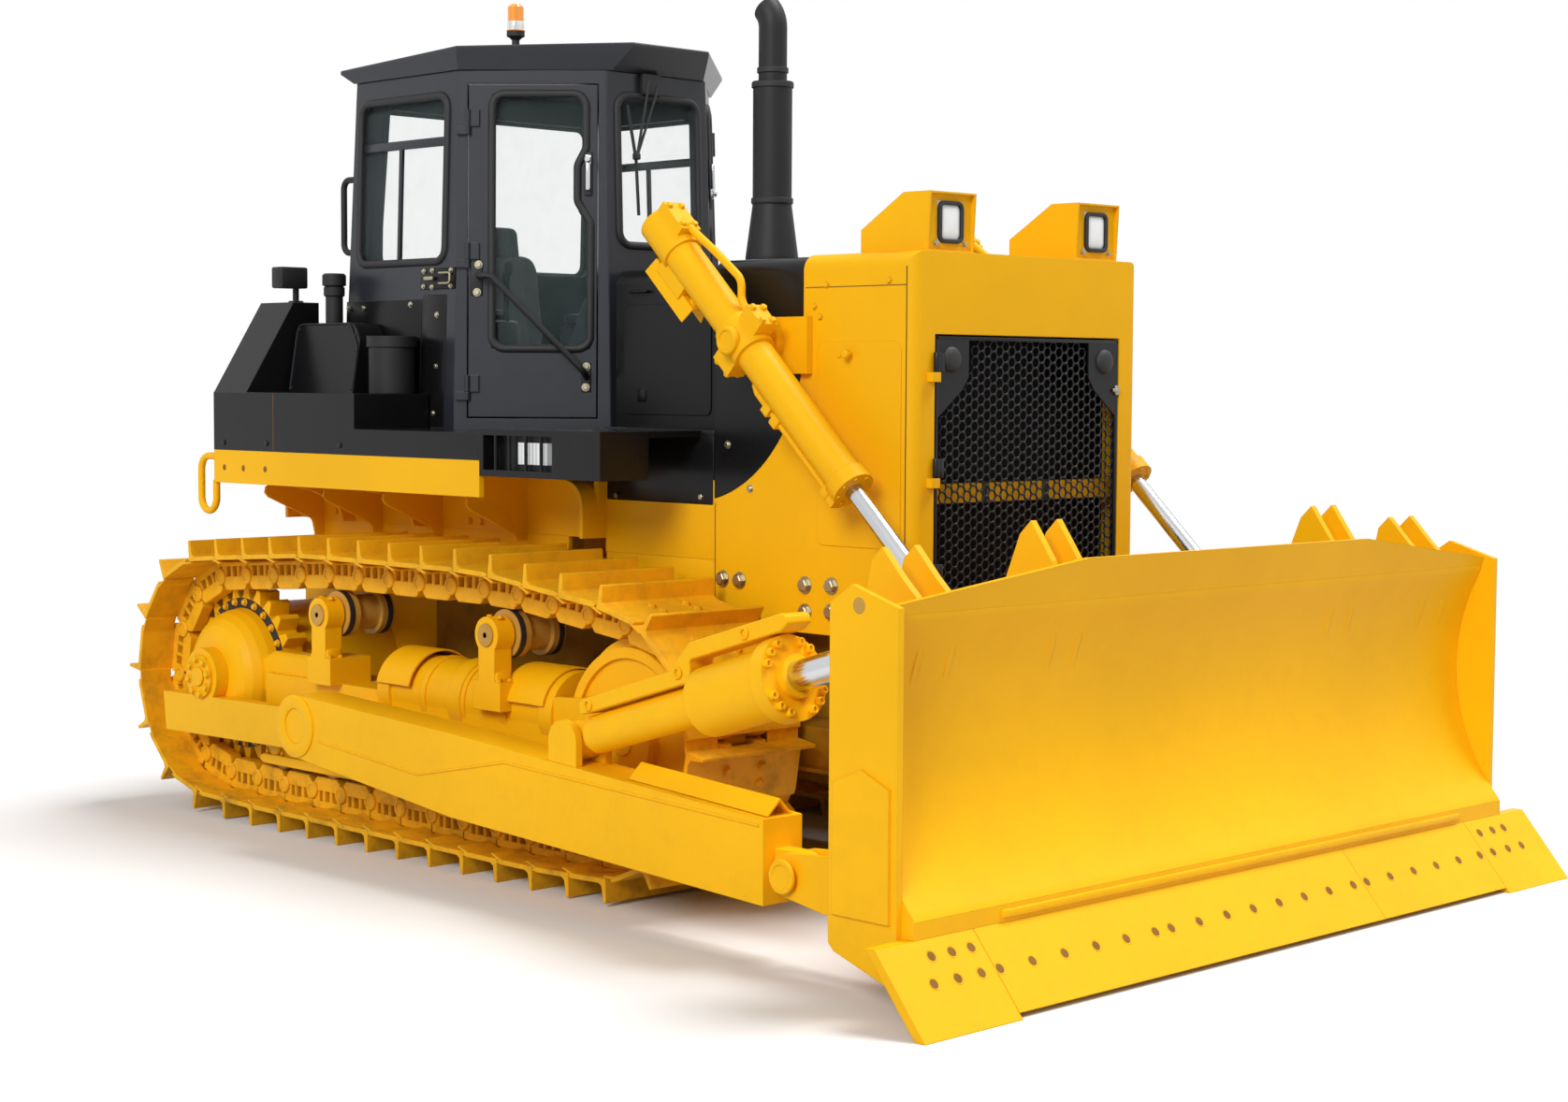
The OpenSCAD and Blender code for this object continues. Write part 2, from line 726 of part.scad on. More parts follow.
grille_t = 22;
grille_hinge_out = 14;
grille_hinge_side = 10;
grille_pin_r = 7;
grille_knuckle_r = grille_hinge_out - cover_gap;
module grille_pins() {
  on_grille_hinge() {
    translate([0, 0, -hinge_l/2 - lap]) cylinder(h = hinge_l + lap, r = grille_pin_r);
    translate([-grille_hinge_out, -hinge_l/2, -hinge_l])
      cube([2*grille_hinge_out, hinge_l/2 + grille_pin_r, hinge_l/2 - seat]);
  }
}
core_set = 150;
core_front_x = guard_front_x - core_set;
core_t = 130;
core_top_z = 2250;
module radiator_core() {
  color(black) machine()
    block([core_front_x - core_t, -(guard_half - guard_t - seat), sill_top_z + guard_t + seat],
       [core_front_x, guard_half - guard_t - seat, core_top_z]);
}

// Shell of the hood from one place to another, open below a height
module hood_shell(rear, front, wide, low_z) {
  along(rear, front) translate([0, -hood_drop]) difference() {
    hood_section(wide, 0);
    hood_section(wide, guard_t);
    translate([-wide - lap, 0]) square([2*(wide + lap), low_z + hood_drop]);
  }
}
module hood() {
  color(dark) machine() {
    hood_shell(hood_rear_x, guard_rear_x + guard_t, hood_half, hood_low_z);
    hood_shell(guard_rear_x, hood_front_x - seat, guard_half, hood_skirt_z + seat);
    // Rear wall of the wide part
    along(guard_rear_x, guard_rear_x + guard_t) translate([0, -hood_drop]) difference() {
      hood_section(guard_half, 0);
      hood_section(hood_half, guard_t);
      translate([-guard_half - lap, 0]) square([2*(guard_half + lap), hood_skirt_z + seat + hood_drop]);
    }
  }
}

// Headlamps on the guard
lamp_in = 290;
lamp_out = 536;
lamp_h = 214;
lamp_top_l = 120;
lamp_foot_l = 330;
lamp_back_share = 0.4;
lens_w = 130;
lens_h = 150;
lens_t = 30;
lamp_rim = 8;
lamp_set = 30;
lamp_visor = 12;

lens_low_z = guard_top_z + seat + (lamp_h - lens_h)/2;
lens_in = (lamp_in + lamp_out - lens_w)/2;
lamp_front_x = guard_front_x - lamp_set;
module headlamps() {
  foot_z = guard_top_z + seat;
  color(paint) machine() both_sides() difference() {
    plate(lamp_in, lamp_out) polygon([
      [lamp_front_x - lamp_foot_l, foot_z], [lamp_front_x, foot_z],
      [lamp_front_x + lamp_visor, foot_z + lamp_h],
      [lamp_front_x - lamp_top_l, foot_z + lamp_h],
      [lamp_front_x - lamp_foot_l, foot_z + lamp_h*lamp_back_share]
    ]);
    // Recess with a thin rim, and the pocket of the lens
    plate(lamp_in + lamp_rim, lamp_out - lamp_rim) polygon([
      [lamp_front_x - lamp_rim, foot_z + lamp_rim], [lamp_front_x + lens_t, foot_z + lamp_rim],
      [lamp_front_x + lens_t, foot_z + lamp_h - lamp_rim],
      [lamp_front_x - lamp_rim, foot_z + lamp_h - lamp_rim]
    ]);
    block([lamp_front_x - lamp_rim - lens_t, lens_in, lens_low_z],
       [lamp_front_x, lens_in + lens_w, lens_low_z + lens_h]);
  }
}

module lamp_lenses() {
  color(chrome) machine() both_sides() {
    block([lamp_front_x - lamp_rim - lens_t + seat, lens_in + seat, lens_low_z + seat],
       [lamp_front_x - lamp_rim + seat, lens_in + lens_w - seat, lens_low_z + lens_h - seat]);
    for (x = [cell_x, cell_x + cell_w + cell_gap])
      block([x, fender_out - lamp_recess + seat, cell_low_z],
        [x + cell_w, fender_out - lamp_recess + cell_t, cell_low_z + cell_w]);
  }
}

// Exhaust stack
stack_x = 2306;
stack_foot_r = 108;
stack_r = 80;
stack_pipe_r = 58;
stack_foot_h = 45;
stack_cone_h = 214;
stack_body_h = 495;
stack_pipe_h = 215;
stack_wall = 4;
stack_band_h = 8;
stack_band = 3;
elbow_r = 110;
elbow_angle = 48;
elbow_overshoot = 4;

module stack_elbow(r, angle) { bend(-elbow_r, 0, elbow_r, r, 0, angle); }
module exhaust() {
  body_z = stack_foot_h + stack_cone_h;
  pipe_z = body_z + stack_body_h;
  tip_z = pipe_z + stack_pipe_h;
  color(black) machine() translate([stack_x, 0, guard_top_z - hood_drop + seat]) difference() {
    union() {
      cylinder(h = stack_foot_h, r = stack_foot_r);
      translate([0, 0, stack_foot_h]) cylinder(h = stack_cone_h, r1 = stack_foot_r, r2 = stack_r);
      translate([0, 0, body_z]) cylinder(h = stack_body_h, r = stack_r);
      for (z = [body_z, pipe_z - stack_band_h])
        translate([0, 0, z]) cylinder(h = stack_band_h, r = stack_r + stack_band);
      translate([0, 0, pipe_z]) cylinder(h = stack_pipe_h, r = stack_pipe_r);
      translate([0, 0, tip_z]) stack_elbow(stack_pipe_r, elbow_angle);
    }
    translate([0, 0, tip_z - stack_r]) cylinder(h = stack_r, r = stack_pipe_r - stack_wall);
    translate([0, 0, tip_z]) stack_elbow(stack_pipe_r - stack_wall, elbow_angle + elbow_overshoot);
  }
}

// Platform

deck_t = 25;
web_out = 690;
web_t = 25;
web_low_z = 1300;
web_rear_x = -96;
web_front_x = 2022;
web_top_z = 1530;
web_flare_r = 145;
web_corner_r = 110;
flange_t = 20;
flange_w = 75;
gusset_t = 20;
gusset_foot = 60;
gusset_steps = 5;
gusset_shares = [0.2, 0.45, 0.78];
leg_set = 30;
leg_step = 175;
leg_t = 25;
leg_in = 300;
tank_half = 600;
tank_gap = 10;

module web_outline() {
  flare = [web_rear_x - web_flare_r, web_top_z - web_flare_r];
  translate([web_rear_x, web_low_z]) square([web_front_x - web_corner_r - web_rear_x, web_top_z - web_low_z]);
  translate([web_rear_x, web_low_z]) square([web_front_x - web_rear_x, web_top_z - web_corner_r - web_low_z]);
  translate([web_front_x - web_corner_r, web_top_z - web_corner_r]) circle(r = web_corner_r);
  translate([web_rear_x, web_low_z]) square([fender_front_x - web_rear_x, deck_z - deck_t - web_low_z]);
  difference() {
    translate(flare) square(web_flare_r + lap);
    translate(flare) circle(r = web_flare_r);
  }
}
module quarter_ring(mid, r) {
  translate(mid) intersection() {
    difference() {
      circle(r = r);
      circle(r = r - flange_t);
    }
    square(r);
  }
}
// Turned edges of the web: a flared rear one and a rounded front one
module web_flanges() {
  flare = [web_rear_x - web_flare_r, web_top_z - web_flare_r];
  corner = [web_front_x - web_corner_r, web_top_z - web_corner_r];
  quarter_ring(flare, web_flare_r + flange_t);
  quarter_ring(corner, web_corner_r);
  translate([web_rear_x, web_low_z]) square([flange_t, web_top_z - web_flare_r - web_low_z]);
  translate([web_front_x - flange_t, web_low_z]) square([flange_t, web_top_z - web_corner_r - web_low_z]);
}
// Rib under the deck, with a hollow curve from the web's foot to the edge beam
module gusset_outline() {
  reach = fender_out - deck_t - web_out - gusset_foot;
  rise = deck_z - fender_beam_h - web_low_z;
  polygon(concat(
    [[web_out - lap, deck_z - deck_t - seat], [web_out - lap, web_low_z]],
    [for (k = [0 : gusset_steps]) [web_out + gusset_foot + reach*(1 - cos(90*k/gusset_steps)),
                   web_low_z + rise*sin(90*k/gusset_steps)]],
    [[fender_out - deck_t, deck_z - deck_t - seat]]
  ));
}
module fender() {
  // Deck, notched round the fuel tank, its edge beam and its rear beam
  translate([0, 0, deck_z - deck_t]) linear_extrude(deck_t) polygon([
    [-fender_reach, fender_out], [fender_front_x, fender_out], [fender_front_x, hood_half + seat],
    [hood_rear_x - seat, hood_half + seat], [hood_rear_x - seat, cab_nose_half], [cab_rear_x, cab_nose_half],
    [cab_rear_x, tank_half + tank_gap], [-fender_reach, tank_half + tank_gap]
  ]);
  block([-fender_reach, fender_out - deck_t, deck_z - fender_beam_h], [fender_front_x, fender_out, deck_z]);
  block([-fender_reach, web_out, deck_z - fender_beam_h], [deck_t - fender_reach, fender_out, deck_z]);
  // Web with turned ends and gussets below the deck
  plate(web_out - web_t, web_out) web_outline();
  plate(web_out - lap, web_out + flange_w) web_flanges();
  for (k = gusset_shares) {
    x = web_rear_x + k*(web_front_x - web_rear_x);
    along(x, x + gusset_t) gusset_outline();
  }
  // Legs that stand on the rear case
  for (x = [cab_rear_x + leg_set, cab_rear_x + leg_set + leg_step])
    block([x, leg_in, case_top_z + seat], [x + leg_t, web_out - lap, deck_z - deck_t + lap]);
  // Lower engine side panel and the plate that ties it to the web
  block([web_front_x - lap, guard_half - guard_t, panel_low_z],
    [guard_rear_x - cover_gap, guard_half, panel_top_z]);
  block([web_front_x - guard_t, guard_half - guard_t, web_low_z], [web_front_x, web_out - lap, panel_top_z]);
}

module fenders() { color(paint) machine() both_sides() fender(); }

tank_rear_x = -500;
tank_set = 25;
tank_front_x = cab_rear_x - tank_set;
tank_foot_x = -60;
tank_low_z = 1480;
tank_top_z = 2140;
tank_slope_l = 120;
tank_slope_h = 140;
module fuel_tank() {
  color(dark) machine() plate(-tank_half, tank_half) polygon([
    [tank_foot_x, case_top_z + seat], [tank_foot_x, tank_low_z], [tank_rear_x, tank_low_z],
    [tank_rear_x, tank_top_z - tank_slope_h], [tank_rear_x + tank_slope_l, tank_top_z],
    [tank_front_x, tank_top_z], [tank_front_x, case_top_z + seat]
  ]);
}

box_gap = 8;
box_front_x = 1006;
box_top_z = 1870;
slope_top_z = 2270;
slope_in = 900;
slope_l = 262;
walk_top_z = 1722;
side_tank_x = 206;
side_tank_l = 490;
side_tank_top_z = 2175;
side_tank_foot = 942;
side_tank_out = 890;
side_tank_r = 105;

// Tank on the fender box, with a leaning outer face and a round top front corner
module side_tank() {
  wall = cab_half + box_gap;
  tall = side_tank_top_z - box_top_z + lap;
  intersection() {
    along(side_tank_x, side_tank_x + side_tank_l) polygon([
      [wall, box_top_z - lap], [side_tank_foot, box_top_z - lap], [side_tank_out, side_tank_top_z],
      [wall, side_tank_top_z]
    ]);
    plate(wall, fender_out) translate([side_tank_x, box_top_z - lap]) {
      square([side_tank_l - side_tank_r, tall]);
      square([side_tank_l, tall - side_tank_r]);
      translate([side_tank_l - side_tank_r, tall - side_tank_r]) circle(r = side_tank_r);
    }
  }
}
module fender_box() {
  wall = cab_half + box_gap;
  block([-fender_reach, wall, deck_z + seat], [box_front_x, fender_out, box_top_z]);
  along(-fender_reach, slope_l - fender_reach) polygon([
    [wall, box_top_z - lap], [fender_out, box_top_z - lap], [slope_in, slope_top_z], [wall, slope_top_z]
  ]);
  side_tank();
  // Walkway beside the door
  translate([0, 0, deck_z + seat]) linear_extrude(walk_top_z - deck_z) polygon([
    [box_front_x - lap, wall], [cab_corner_x + box_gap, wall],
    [cab_front_x + box_gap, cab_nose_half + box_gap], [hood_rear_x - seat, cab_nose_half + box_gap],
    [hood_rear_x - seat, hood_half + seat], [fender_front_x - seat, hood_half + seat],
    [fender_front_x - seat, fender_out], [box_front_x - lap, fender_out]
  ]);
}
module fender_boxes() { color(dark) machine() both_sides() fender_box(); }

canister_x = 885;
canister_out = 872;
canister_r = 97;
canister_top_z = 2113;
canister_cap = 9;
canister_cap_h = 46;
module filter_canister() {
  color(black) machine() mirrored() {
    translate([canister_x, canister_out, box_top_z + seat])
      cylinder(h = canister_top_z - box_top_z, r = canister_r);
    translate([canister_x, canister_out, canister_top_z - canister_cap_h])
      cylinder(h = canister_cap_h, r = canister_r + canister_cap);
  }
}

lamp_box_h = 185;
lamp_box_w = 240;
lamp_box_rise = 125;
lamp_box_wall = 25;
lamp_recess = 60;
lamp_recess_x = fender_front_x + lamp_box_wall;
lamp_recess_l = 425;
cell_x = 2060;
cell_w = 84;
cell_gap = 8;
cell_t = 30;
cell_low_z = 1605;
guard_bar_r = 7;
guard_bar_shares = [0.17, 0.37, 0.61, 0.83];
module lamp_box() {
  top_z = deck_z + lamp_box_rise;
  low_z = top_z - lamp_box_h;
  difference() {
    union() {
      block([fender_front_x + seat, fender_out - lamp_box_w, low_z], [lamp_box_front_x, fender_out, top_z]);
      block([fender_front_x + seat, hood_half + seat, top_z - deck_t], [lamp_box_front_x, fender_out, top_z]);
    }
    block([lamp_recess_x, fender_out - lamp_recess, low_z + lamp_box_wall],
       [lamp_recess_x + lamp_recess_l, fender_out + lap, top_z - lamp_box_wall]);
  }
  // Bars that guard the lamps
  for (k = guard_bar_shares)
    translate([lamp_recess_x + k*lamp_recess_l, fender_out - guard_bar_r, low_z + lamp_box_wall - lap])
      cylinder(h = lamp_box_h - 2*(lamp_box_wall - lap), r = guard_bar_r);
}
module lamp_boxes() { color(dark) machine() both_sides() lamp_box(); }

// Cab

module cab_solid(inset) {
  hull() {
    translate([0, 0, cab_low_z + seat]) linear_extrude(seat) offset(delta = -inset) polygon(cab_points());
    translate([0, 0, cab_top_z - seat]) linear_extrude(seat) offset(delta = -inset - cab_lean)
      polygon(cab_points());
  }
}
module cab_shell() {
  difference() {
    cab_solid(0);
    cab_solid(cab_wall);
    translate([0, 0, cab_low_z - lap]) linear_extrude(2*lap) offset(delta = -cab_wall) polygon(cab_points());
    translate([0, 0, cab_top_z - lap]) linear_extrude(2*lap) offset(delta = -cab_wall - cab_lean)
      polygon(cab_points());
  }
}
// Wedge of the plan between two corners, from the middle of the cab outwards
cab_mid_x = (cab_rear_x + cab_corner_x)/2;
module cab_sector(a, b) {
  reach = 2; // well past the walls
  mid = [cab_mid_x, 0];
  translate([0, 0, cab_low_z - lap]) linear_extrude(cab_rise + 2*lap)
    polygon([mid, mid + (a - mid)*reach, mid + (b - mid)*reach]);
}
// Frame on the left door wall: X along the wall from its rear corner, Y outwards, Z up the wall
module on_door_wall() {
  translate([cab_corner_x, cab_half, cab_low_z]) rotate([0, 0, -door_wall_angle])
    rotate([lean_angle, 0, 0]) children();
}
module rounded(w, h, r) { translate([r, r]) offset(r = r, $fn = 32) square([w - 2*r, h - 2*r]); }
module door_slab(grow) {
  on_door_wall() translate([door_edge - grow, 2*cab_wall, door_low_z - cab_low_z - grow]) rotate([90, 0, 0])
    linear_extrude(4*cab_wall) square([door_w + 2*grow, door_top_z - door_low_z + 2*grow]);
}
door_window_low_z = 2062;
door_window_top_z = 3128;
door_window_rear = 98;
door_window_front = 26;
door_waist_front = 82;
door_upper_front = 46;
door_waist_low_z = 2600;
door_waist_high_z = 2900;
window_r = 60;
// Window that narrows beside the door's handle
module door_window_outline(grow) {
  w = door_w - door_window_rear;
  offset(r = grow - window_r, $fn = 32) offset(delta = 2*window_r) offset(delta = -window_r) {
    square([w - door_waist_front, door_window_top_z - door_window_low_z]);
    square([w - door_window_front, door_waist_low_z - door_window_low_z]);
    translate([0, door_waist_high_z - door_window_low_z])
      square([w - door_upper_front, door_window_top_z - door_waist_high_z]);
  }
}
module door_window(grow) {
  on_door_wall() translate([door_edge + door_window_rear, 2*cab_wall, door_window_low_z - cab_low_z])
    rotate([90, 0, 0]) linear_extrude(4*cab_wall) door_window_outline(grow);
}
pane_t = 8;
module pane(inset) {
  difference() {
    cab_solid(inset);
    cab_solid(inset + pane_t);
  }
}

module cab_floor() {
  color(dark) machine() translate([0, 0, deck_z + seat]) linear_extrude(floor_t - 2*seat)
    polygon(cab_points());
}

side_window_low_z = 2430;
side_window_top_z = 3130;
side_window_edge = 90;
front_window_low_z = 2500;
front_window_edge = 70;
rear_window_low_z = 2420;
rear_window_top_z = 3120;
rear_window_edge = 160;
module side_window(grow) {
  translate([cab_rear_x + side_window_edge - grow, cab_half + cab_wall, side_window_low_z - grow])
    rotate([90, 0, 0])
    linear_extrude(4*cab_wall) rounded(cab_corner_x - cab_rear_x - 2*(side_window_edge - grow),
                      side_window_top_z - side_window_low_z + 2*grow, window_r);
}
module front_window(grow) {
  half = cab_nose_half - front_window_edge + grow;
  translate([0, 0, front_window_low_z - grow]) along(cab_front_x - 4*cab_wall, cab_front_x + 2*cab_wall)
    translate([-half, 0]) rounded(2*half, side_window_top_z - front_window_low_z + 2*grow, window_r);
}
module rear_window(grow) {
  half = cab_half - rear_window_edge + grow;
  translate([0, 0, rear_window_low_z - grow]) along(cab_rear_x - 2*cab_wall, cab_rear_x + 4*cab_wall)
    translate([-half, 0]) rounded(2*half, rear_window_top_z - rear_window_low_z + 2*grow, window_r);
}
function cab_corner(i) = cab_points()[i];

hinge_r = 11.5;
hinge_pin_r = 7;
hinge_leaf = 48;
hinge_l = 70;
hinge_shares = [0.1, 0.5, 0.9];
hinge_proud = 12;
module on_hinge() {
  on_door_wall() translate([door_edge - door_gap/2, hinge_proud, door_low_z - cab_low_z]) children();
}
module hinge_pins() {
  on_hinge() for (k = hinge_shares) translate([0, 0, k*(door_top_z - door_low_z)]) {
    translate([0, 0, -hinge_l/2]) cylinder(h = hinge_l, r = hinge_pin_r);
    translate([0, 0, -hinge_l]) cylinder(h = hinge_l/2 - seat, r = hinge_r);
    translate([0, 0, -hinge_l/2 - lap]) cylinder(h = lap, r = hinge_pin_r);
    translate([-hinge_leaf, -hinge_proud - lap, -hinge_l])
      cube([hinge_leaf - door_gap/2, hinge_proud + lap + hinge_pin_r, hinge_l/2 - seat]);
  }
}
module hinge_knuckles() {
  on_hinge() for (k = hinge_shares) translate([0, 0, k*(door_top_z - door_low_z)]) difference() {
    union() {
      translate([0, 0, -hinge_l/2]) cylinder(h = hinge_l, r = hinge_r);
      translate([0, -hinge_proud/2, -hinge_l/2]) cube([hinge_leaf, hinge_proud/2, hinge_l]);
      translate([door_gap/2, -hinge_proud - lap, -hinge_l/2])
        cube([hinge_leaf - door_gap/2, hinge_proud + lap, hinge_l]);
    }
    translate([0, 0, -hinge_l]) cylinder(h = hinge_l*2, r = hinge_pin_r + pin_play);
  }
}

module cab_side() {
  difference() {
    intersection() {
      cab_shell();
      union() {
        cab_sector(cab_corner(5), cab_corner(4));
        cab_sector(cab_corner(4), cab_corner(3));
      }
    }
    door_slab(door_gap);
    side_window(0);
  }
  hinge_pins();
}
module cab_sides() { color(dark) machine() both_sides() cab_side(); }

module cab_front() {
  color(dark) machine() difference() {
    intersection() {
      cab_shell();
      cab_sector(cab_corner(3), cab_corner(2));
    }
    front_window(0);
  }
}
module cab_rear() {
  color(dark) machine() difference() {
    intersection() {
      cab_shell();
      cab_sector(cab_corner(0), cab_corner(5));
    }
    rear_window(0);
  }
}
// Roof: a fascia that flares out to a flat top, which falls towards the rear
roof_foot = 10;
roof_side = 45;
roof_front = 130;
roof_rear = 60;
roof_rear_h = 42;
roof_pitch = 2.4;
roof_lip = 18;
module roof_plan(front, side, rear) {
  polygon([for (p = cab_points()) [
    p[0] + (p[0] == cab_rear_x ? cab_lean - rear : p[0] == cab_front_x ? front - cab_lean : side - cab_lean/2),
    p[1] + sign(p[1])*(side - cab_lean)
  ]]);
}
module cab_roof() {
  color(dark) machine() hull() {
    translate([0, 0, cab_top_z + seat]) linear_extrude(roof_lip) roof_plan(roof_foot, roof_foot, roof_foot);
    translate([cab_rear_x, 0, cab_top_z + roof_rear_h]) rotate([0, -roof_pitch, 0]) linear_extrude(roof_lip)
      translate([-cab_rear_x, 0]) roof_plan(roof_front, roof_side, roof_rear);
  }
}
function roof_top_z(x) = cab_top_z + roof_rear_h + roof_lip + (x - cab_rear_x)*tan(roof_pitch);
module cab_glass() {
  color(glass) machine() {
    intersection() {
      pane(cab_wall/2);
      union() {
        both_sides() side_window(-seat);
        front_window(-seat);
        rear_window(-seat);
      }
    }
  }
}
module door_panel() {
  difference() {
    intersection() {
      cab_shell();
      door_slab(0);
    }
    door_window(0);
  }
  hinge_knuckles();
}
module door_left() { color(dark) machine() door_panel(); }
module door_right() { color(dark) machine() mirrored() door_panel(); }
module door_pane() { intersection() { pane(cab_wall/2); door_window(-seat); } }
module door_glass_left() { color(glass) machine() door_pane(); }
module door_glass_right() { color(glass) machine() mirrored() door_pane(); }

seat_x = 700;
seat_foot_l = 360;
seat_foot_w = 320;
seat_foot_h = 260;
cushion_l = 510;
cushion_w = 500;
cushion_h = 140;
seat_back_t = 130;
seat_back_w = 480;
seat_back_h = 550;
module seat_unit() {
  cushion_z = cab_low_z + seat_foot_h;
  color(black) machine() {
    block([seat_x - seat_foot_l/2, -seat_foot_w/2, cab_low_z],
      [seat_x + seat_foot_l/2, seat_foot_w/2, cushion_z]);
    block([seat_x - cushion_l/2, -cushion_w/2, cushion_z],
      [seat_x + cushion_l/2, cushion_w/2, cushion_z + cushion_h]);
    block([seat_x - cushion_l/2, -seat_back_w/2, cushion_z + cushion_h],
       [seat_x - cushion_l/2 + seat_back_t, seat_back_w/2, cushion_z + cushion_h + seat_back_h]);
  }
}

// Beacon: foot, stem, flared base, lens band and round dome
beacon_x = 820;
beacon_out = 150;
beacon_foot_r = 45;
beacon_foot_h = 8;
beacon_stem_r = 13;
beacon_stem_h = 135;
beacon_base_h = 24;
beacon_band_h = 42;
beacon_dome_h = 74;
beacon_r = 36;
dome_round_share = 0.35;
module beacon() {
  base_z = beacon_foot_h + beacon_stem_h;
  lens_z = base_z + beacon_base_h;
  top_z = lens_z + beacon_band_h + beacon_dome_h;
  color(amber) machine() mirrored()
    translate([beacon_x, beacon_out, roof_top_z(beacon_x + beacon_foot_r) + seat]) rotate_extrude() polygon([
      [0, 0], [beacon_foot_r, 0], [beacon_foot_r, beacon_foot_h], [beacon_stem_r, beacon_foot_h],
      [beacon_stem_r, base_z], [beacon_r + beacon_foot_h, lens_z], [beacon_r, lens_z],
      [beacon_r, top_z - beacon_r*dome_round_share], [beacon_r*(1 - dome_round_share), top_z], [0, top_z]
    ]);
}

// Grab handles on the rear edges of the cab
grab_r = 14;
grab_bend_r = 40;
grab_low_z = 2490;
grab_l = 320;
grab_out = 70;
grab_in = 60;
module handrails() {
  x = cab_rear_x - grab_out;
  high_z = grab_low_z + grab_l;
  color(black) machine() both_sides() translate([0, cab_half - grab_in, 0]) {
    translate([x, 0, grab_low_z + grab_bend_r]) cylinder(h = grab_l - 2*grab_bend_r, r = grab_r);
    bend(x + grab_bend_r, grab_low_z + grab_bend_r, grab_bend_r, grab_r, 180, 90);
    bend(x + grab_bend_r, high_z - grab_bend_r, grab_bend_r, grab_r, 90, 90);
    for (z = [grab_low_z, high_z]) translate([0, 0, z])
      shaft(x + grab_bend_r, cab_rear_x + cab_lean*(z - grab_r - cab_low_z)/cab_rise - seat, grab_r);
  }
}

// Lift linkage

yoke_r = 46;
yoke_wall = 28;
yoke_gap = 6;
yoke_plate_t = 30;
yoke_rear = 60;
yoke_l = 250;
yoke_up = 90;
yoke_down = 120;
lift_collar = 14;
module lift_yokes() {
  boss_out = lift_y - lift_barrel_r - lift_collar - yoke_gap;
  color(paint) machine() both_sides() difference() {
    union() {
      block([lift_pivot_x - yoke_rear, guard_half + seat, lift_pivot_z - yoke_down],
         [lift_pivot_x - yoke_rear + yoke_l, guard_half + yoke_plate_t, lift_pivot_z + yoke_up]);
      bar(lift_pivot_x, lift_pivot_z, yoke_r + yoke_wall, guard_half + seat, boss_out);
    }
    bar(lift_pivot_x, lift_pivot_z, yoke_r + pin_play, guard_half + yoke_plate_t, lift_y);
  }
}

lift_head = 621;
lift_gland = 773;
lift_rod_l = 1311;
lift_eye_r = 72;
lift_eye_w = 80;
lift_pin_r = 36;
ear_play = 12;
ear_t = 28;
barrel_wall = 14;
gland_l = 60;
gland_step = 10;
head_l = 150;
head_w = 96;
head_cap = 34;
cap_l = 104;
cap_w = 84;
cap_reach = 62;
port_l = 130;
pipe_r = 14;
pipe_set = 22;
pipe_start = 250;
clamp_l = 40;

// Cylinder in a yoke whose two bearing caps stand above and below it
module lift_barrel() {
  pipe_z = -lift_barrel_r - pipe_set;
  inclined(lift_pivot_x, lift_y, lift_pivot_z, lift_angle) {
    difference() {
      union() {
        shaft(-lift_head, lift_gland, lift_barrel_r);
        shaft(lift_gland - gland_l, lift_gland, lift_barrel_r + gland_step);
        shaft(-yoke_r - yoke_wall, yoke_r + yoke_wall, lift_barrel_r + lift_collar);
        bar(0, 0, yoke_r, -(lift_y - guard_half - yoke_plate_t) + seat, 0);
        // Bearing caps of the yoke
        for (side = [-1, 1]) block(
          [-cap_l/2, -cap_w/2, side > 0 ? lift_barrel_r : -lift_barrel_r - cap_reach],
          [cap_l/2, cap_w/2, side > 0 ? lift_barrel_r + cap_reach : -lift_barrel_r]);
        // Head block with its port, and the pipe to the rod end
        shaft(-lift_head - head_cap, -lift_head + head_l, lift_barrel_r + gland_step);
        block([-lift_head - head_cap, -head_w/2, 0],
          [-lift_head + head_l - head_cap, head_w/2, lift_barrel_r + head_cap]);
        block([-lift_head + head_l - head_cap, -head_w/2, pipe_z - pipe_r],
          [-lift_head + head_l + port_l, head_w/2, -lift_barrel_r/2]);
        translate([0, 0, pipe_z]) shaft(pipe_start, lift_gland - gland_l/2, pipe_r);
        for (x = [pipe_start, lift_gland - gland_l])
          block([x, -pipe_r - pipe_set/2, pipe_z - pipe_r - lap],
            [x + clamp_l, pipe_r + pipe_set/2, -lift_barrel_r/2]);
      }
      shaft(-lift_head + barrel_wall, lift_gland - gland_l, lift_barrel_r - barrel_wall);
      shaft(0, lift_gland + lap, lift_rod_r + pin_play);
    }
  }
}
module lift_rod() {
  inclined(lift_pivot_x, lift_y, lift_pivot_z, lift_angle) difference() {
    union() {
      shaft(lift_reach - lift_rod_l, lift_reach, lift_rod_r);
      bar(lift_reach, 0, lift_eye_r, -lift_eye_w/2, lift_eye_w/2);
    }
    bar(lift_reach, 0, lift_pin_r, -lift_eye_w, lift_eye_w);
  }
}
module lift_barrel_left() { color(paint) machine() lift_barrel(); }
module lift_barrel_right() { color(paint) machine() mirrored() lift_barrel(); }
module lift_rod_left() { color(chrome) machine() lift_rod(); }
module lift_rod_right() { color(chrome) machine() mirrored() lift_rod(); }

// Grille door, hinged on the right-hand side
module on_grille_hinge() {
  for (k = hinge_shares) translate([guard_front_x + grille_hinge_out, -grille_half - grille_hinge_side,
                   grille_low_z + k*(grille_top_z - grille_low_z)]) children();
}
grille_frame = 44;
cell_pitch = 82;
cell_wall = 12;
grille_corner = 190;
dome_r = 34;
dome_set = 84;
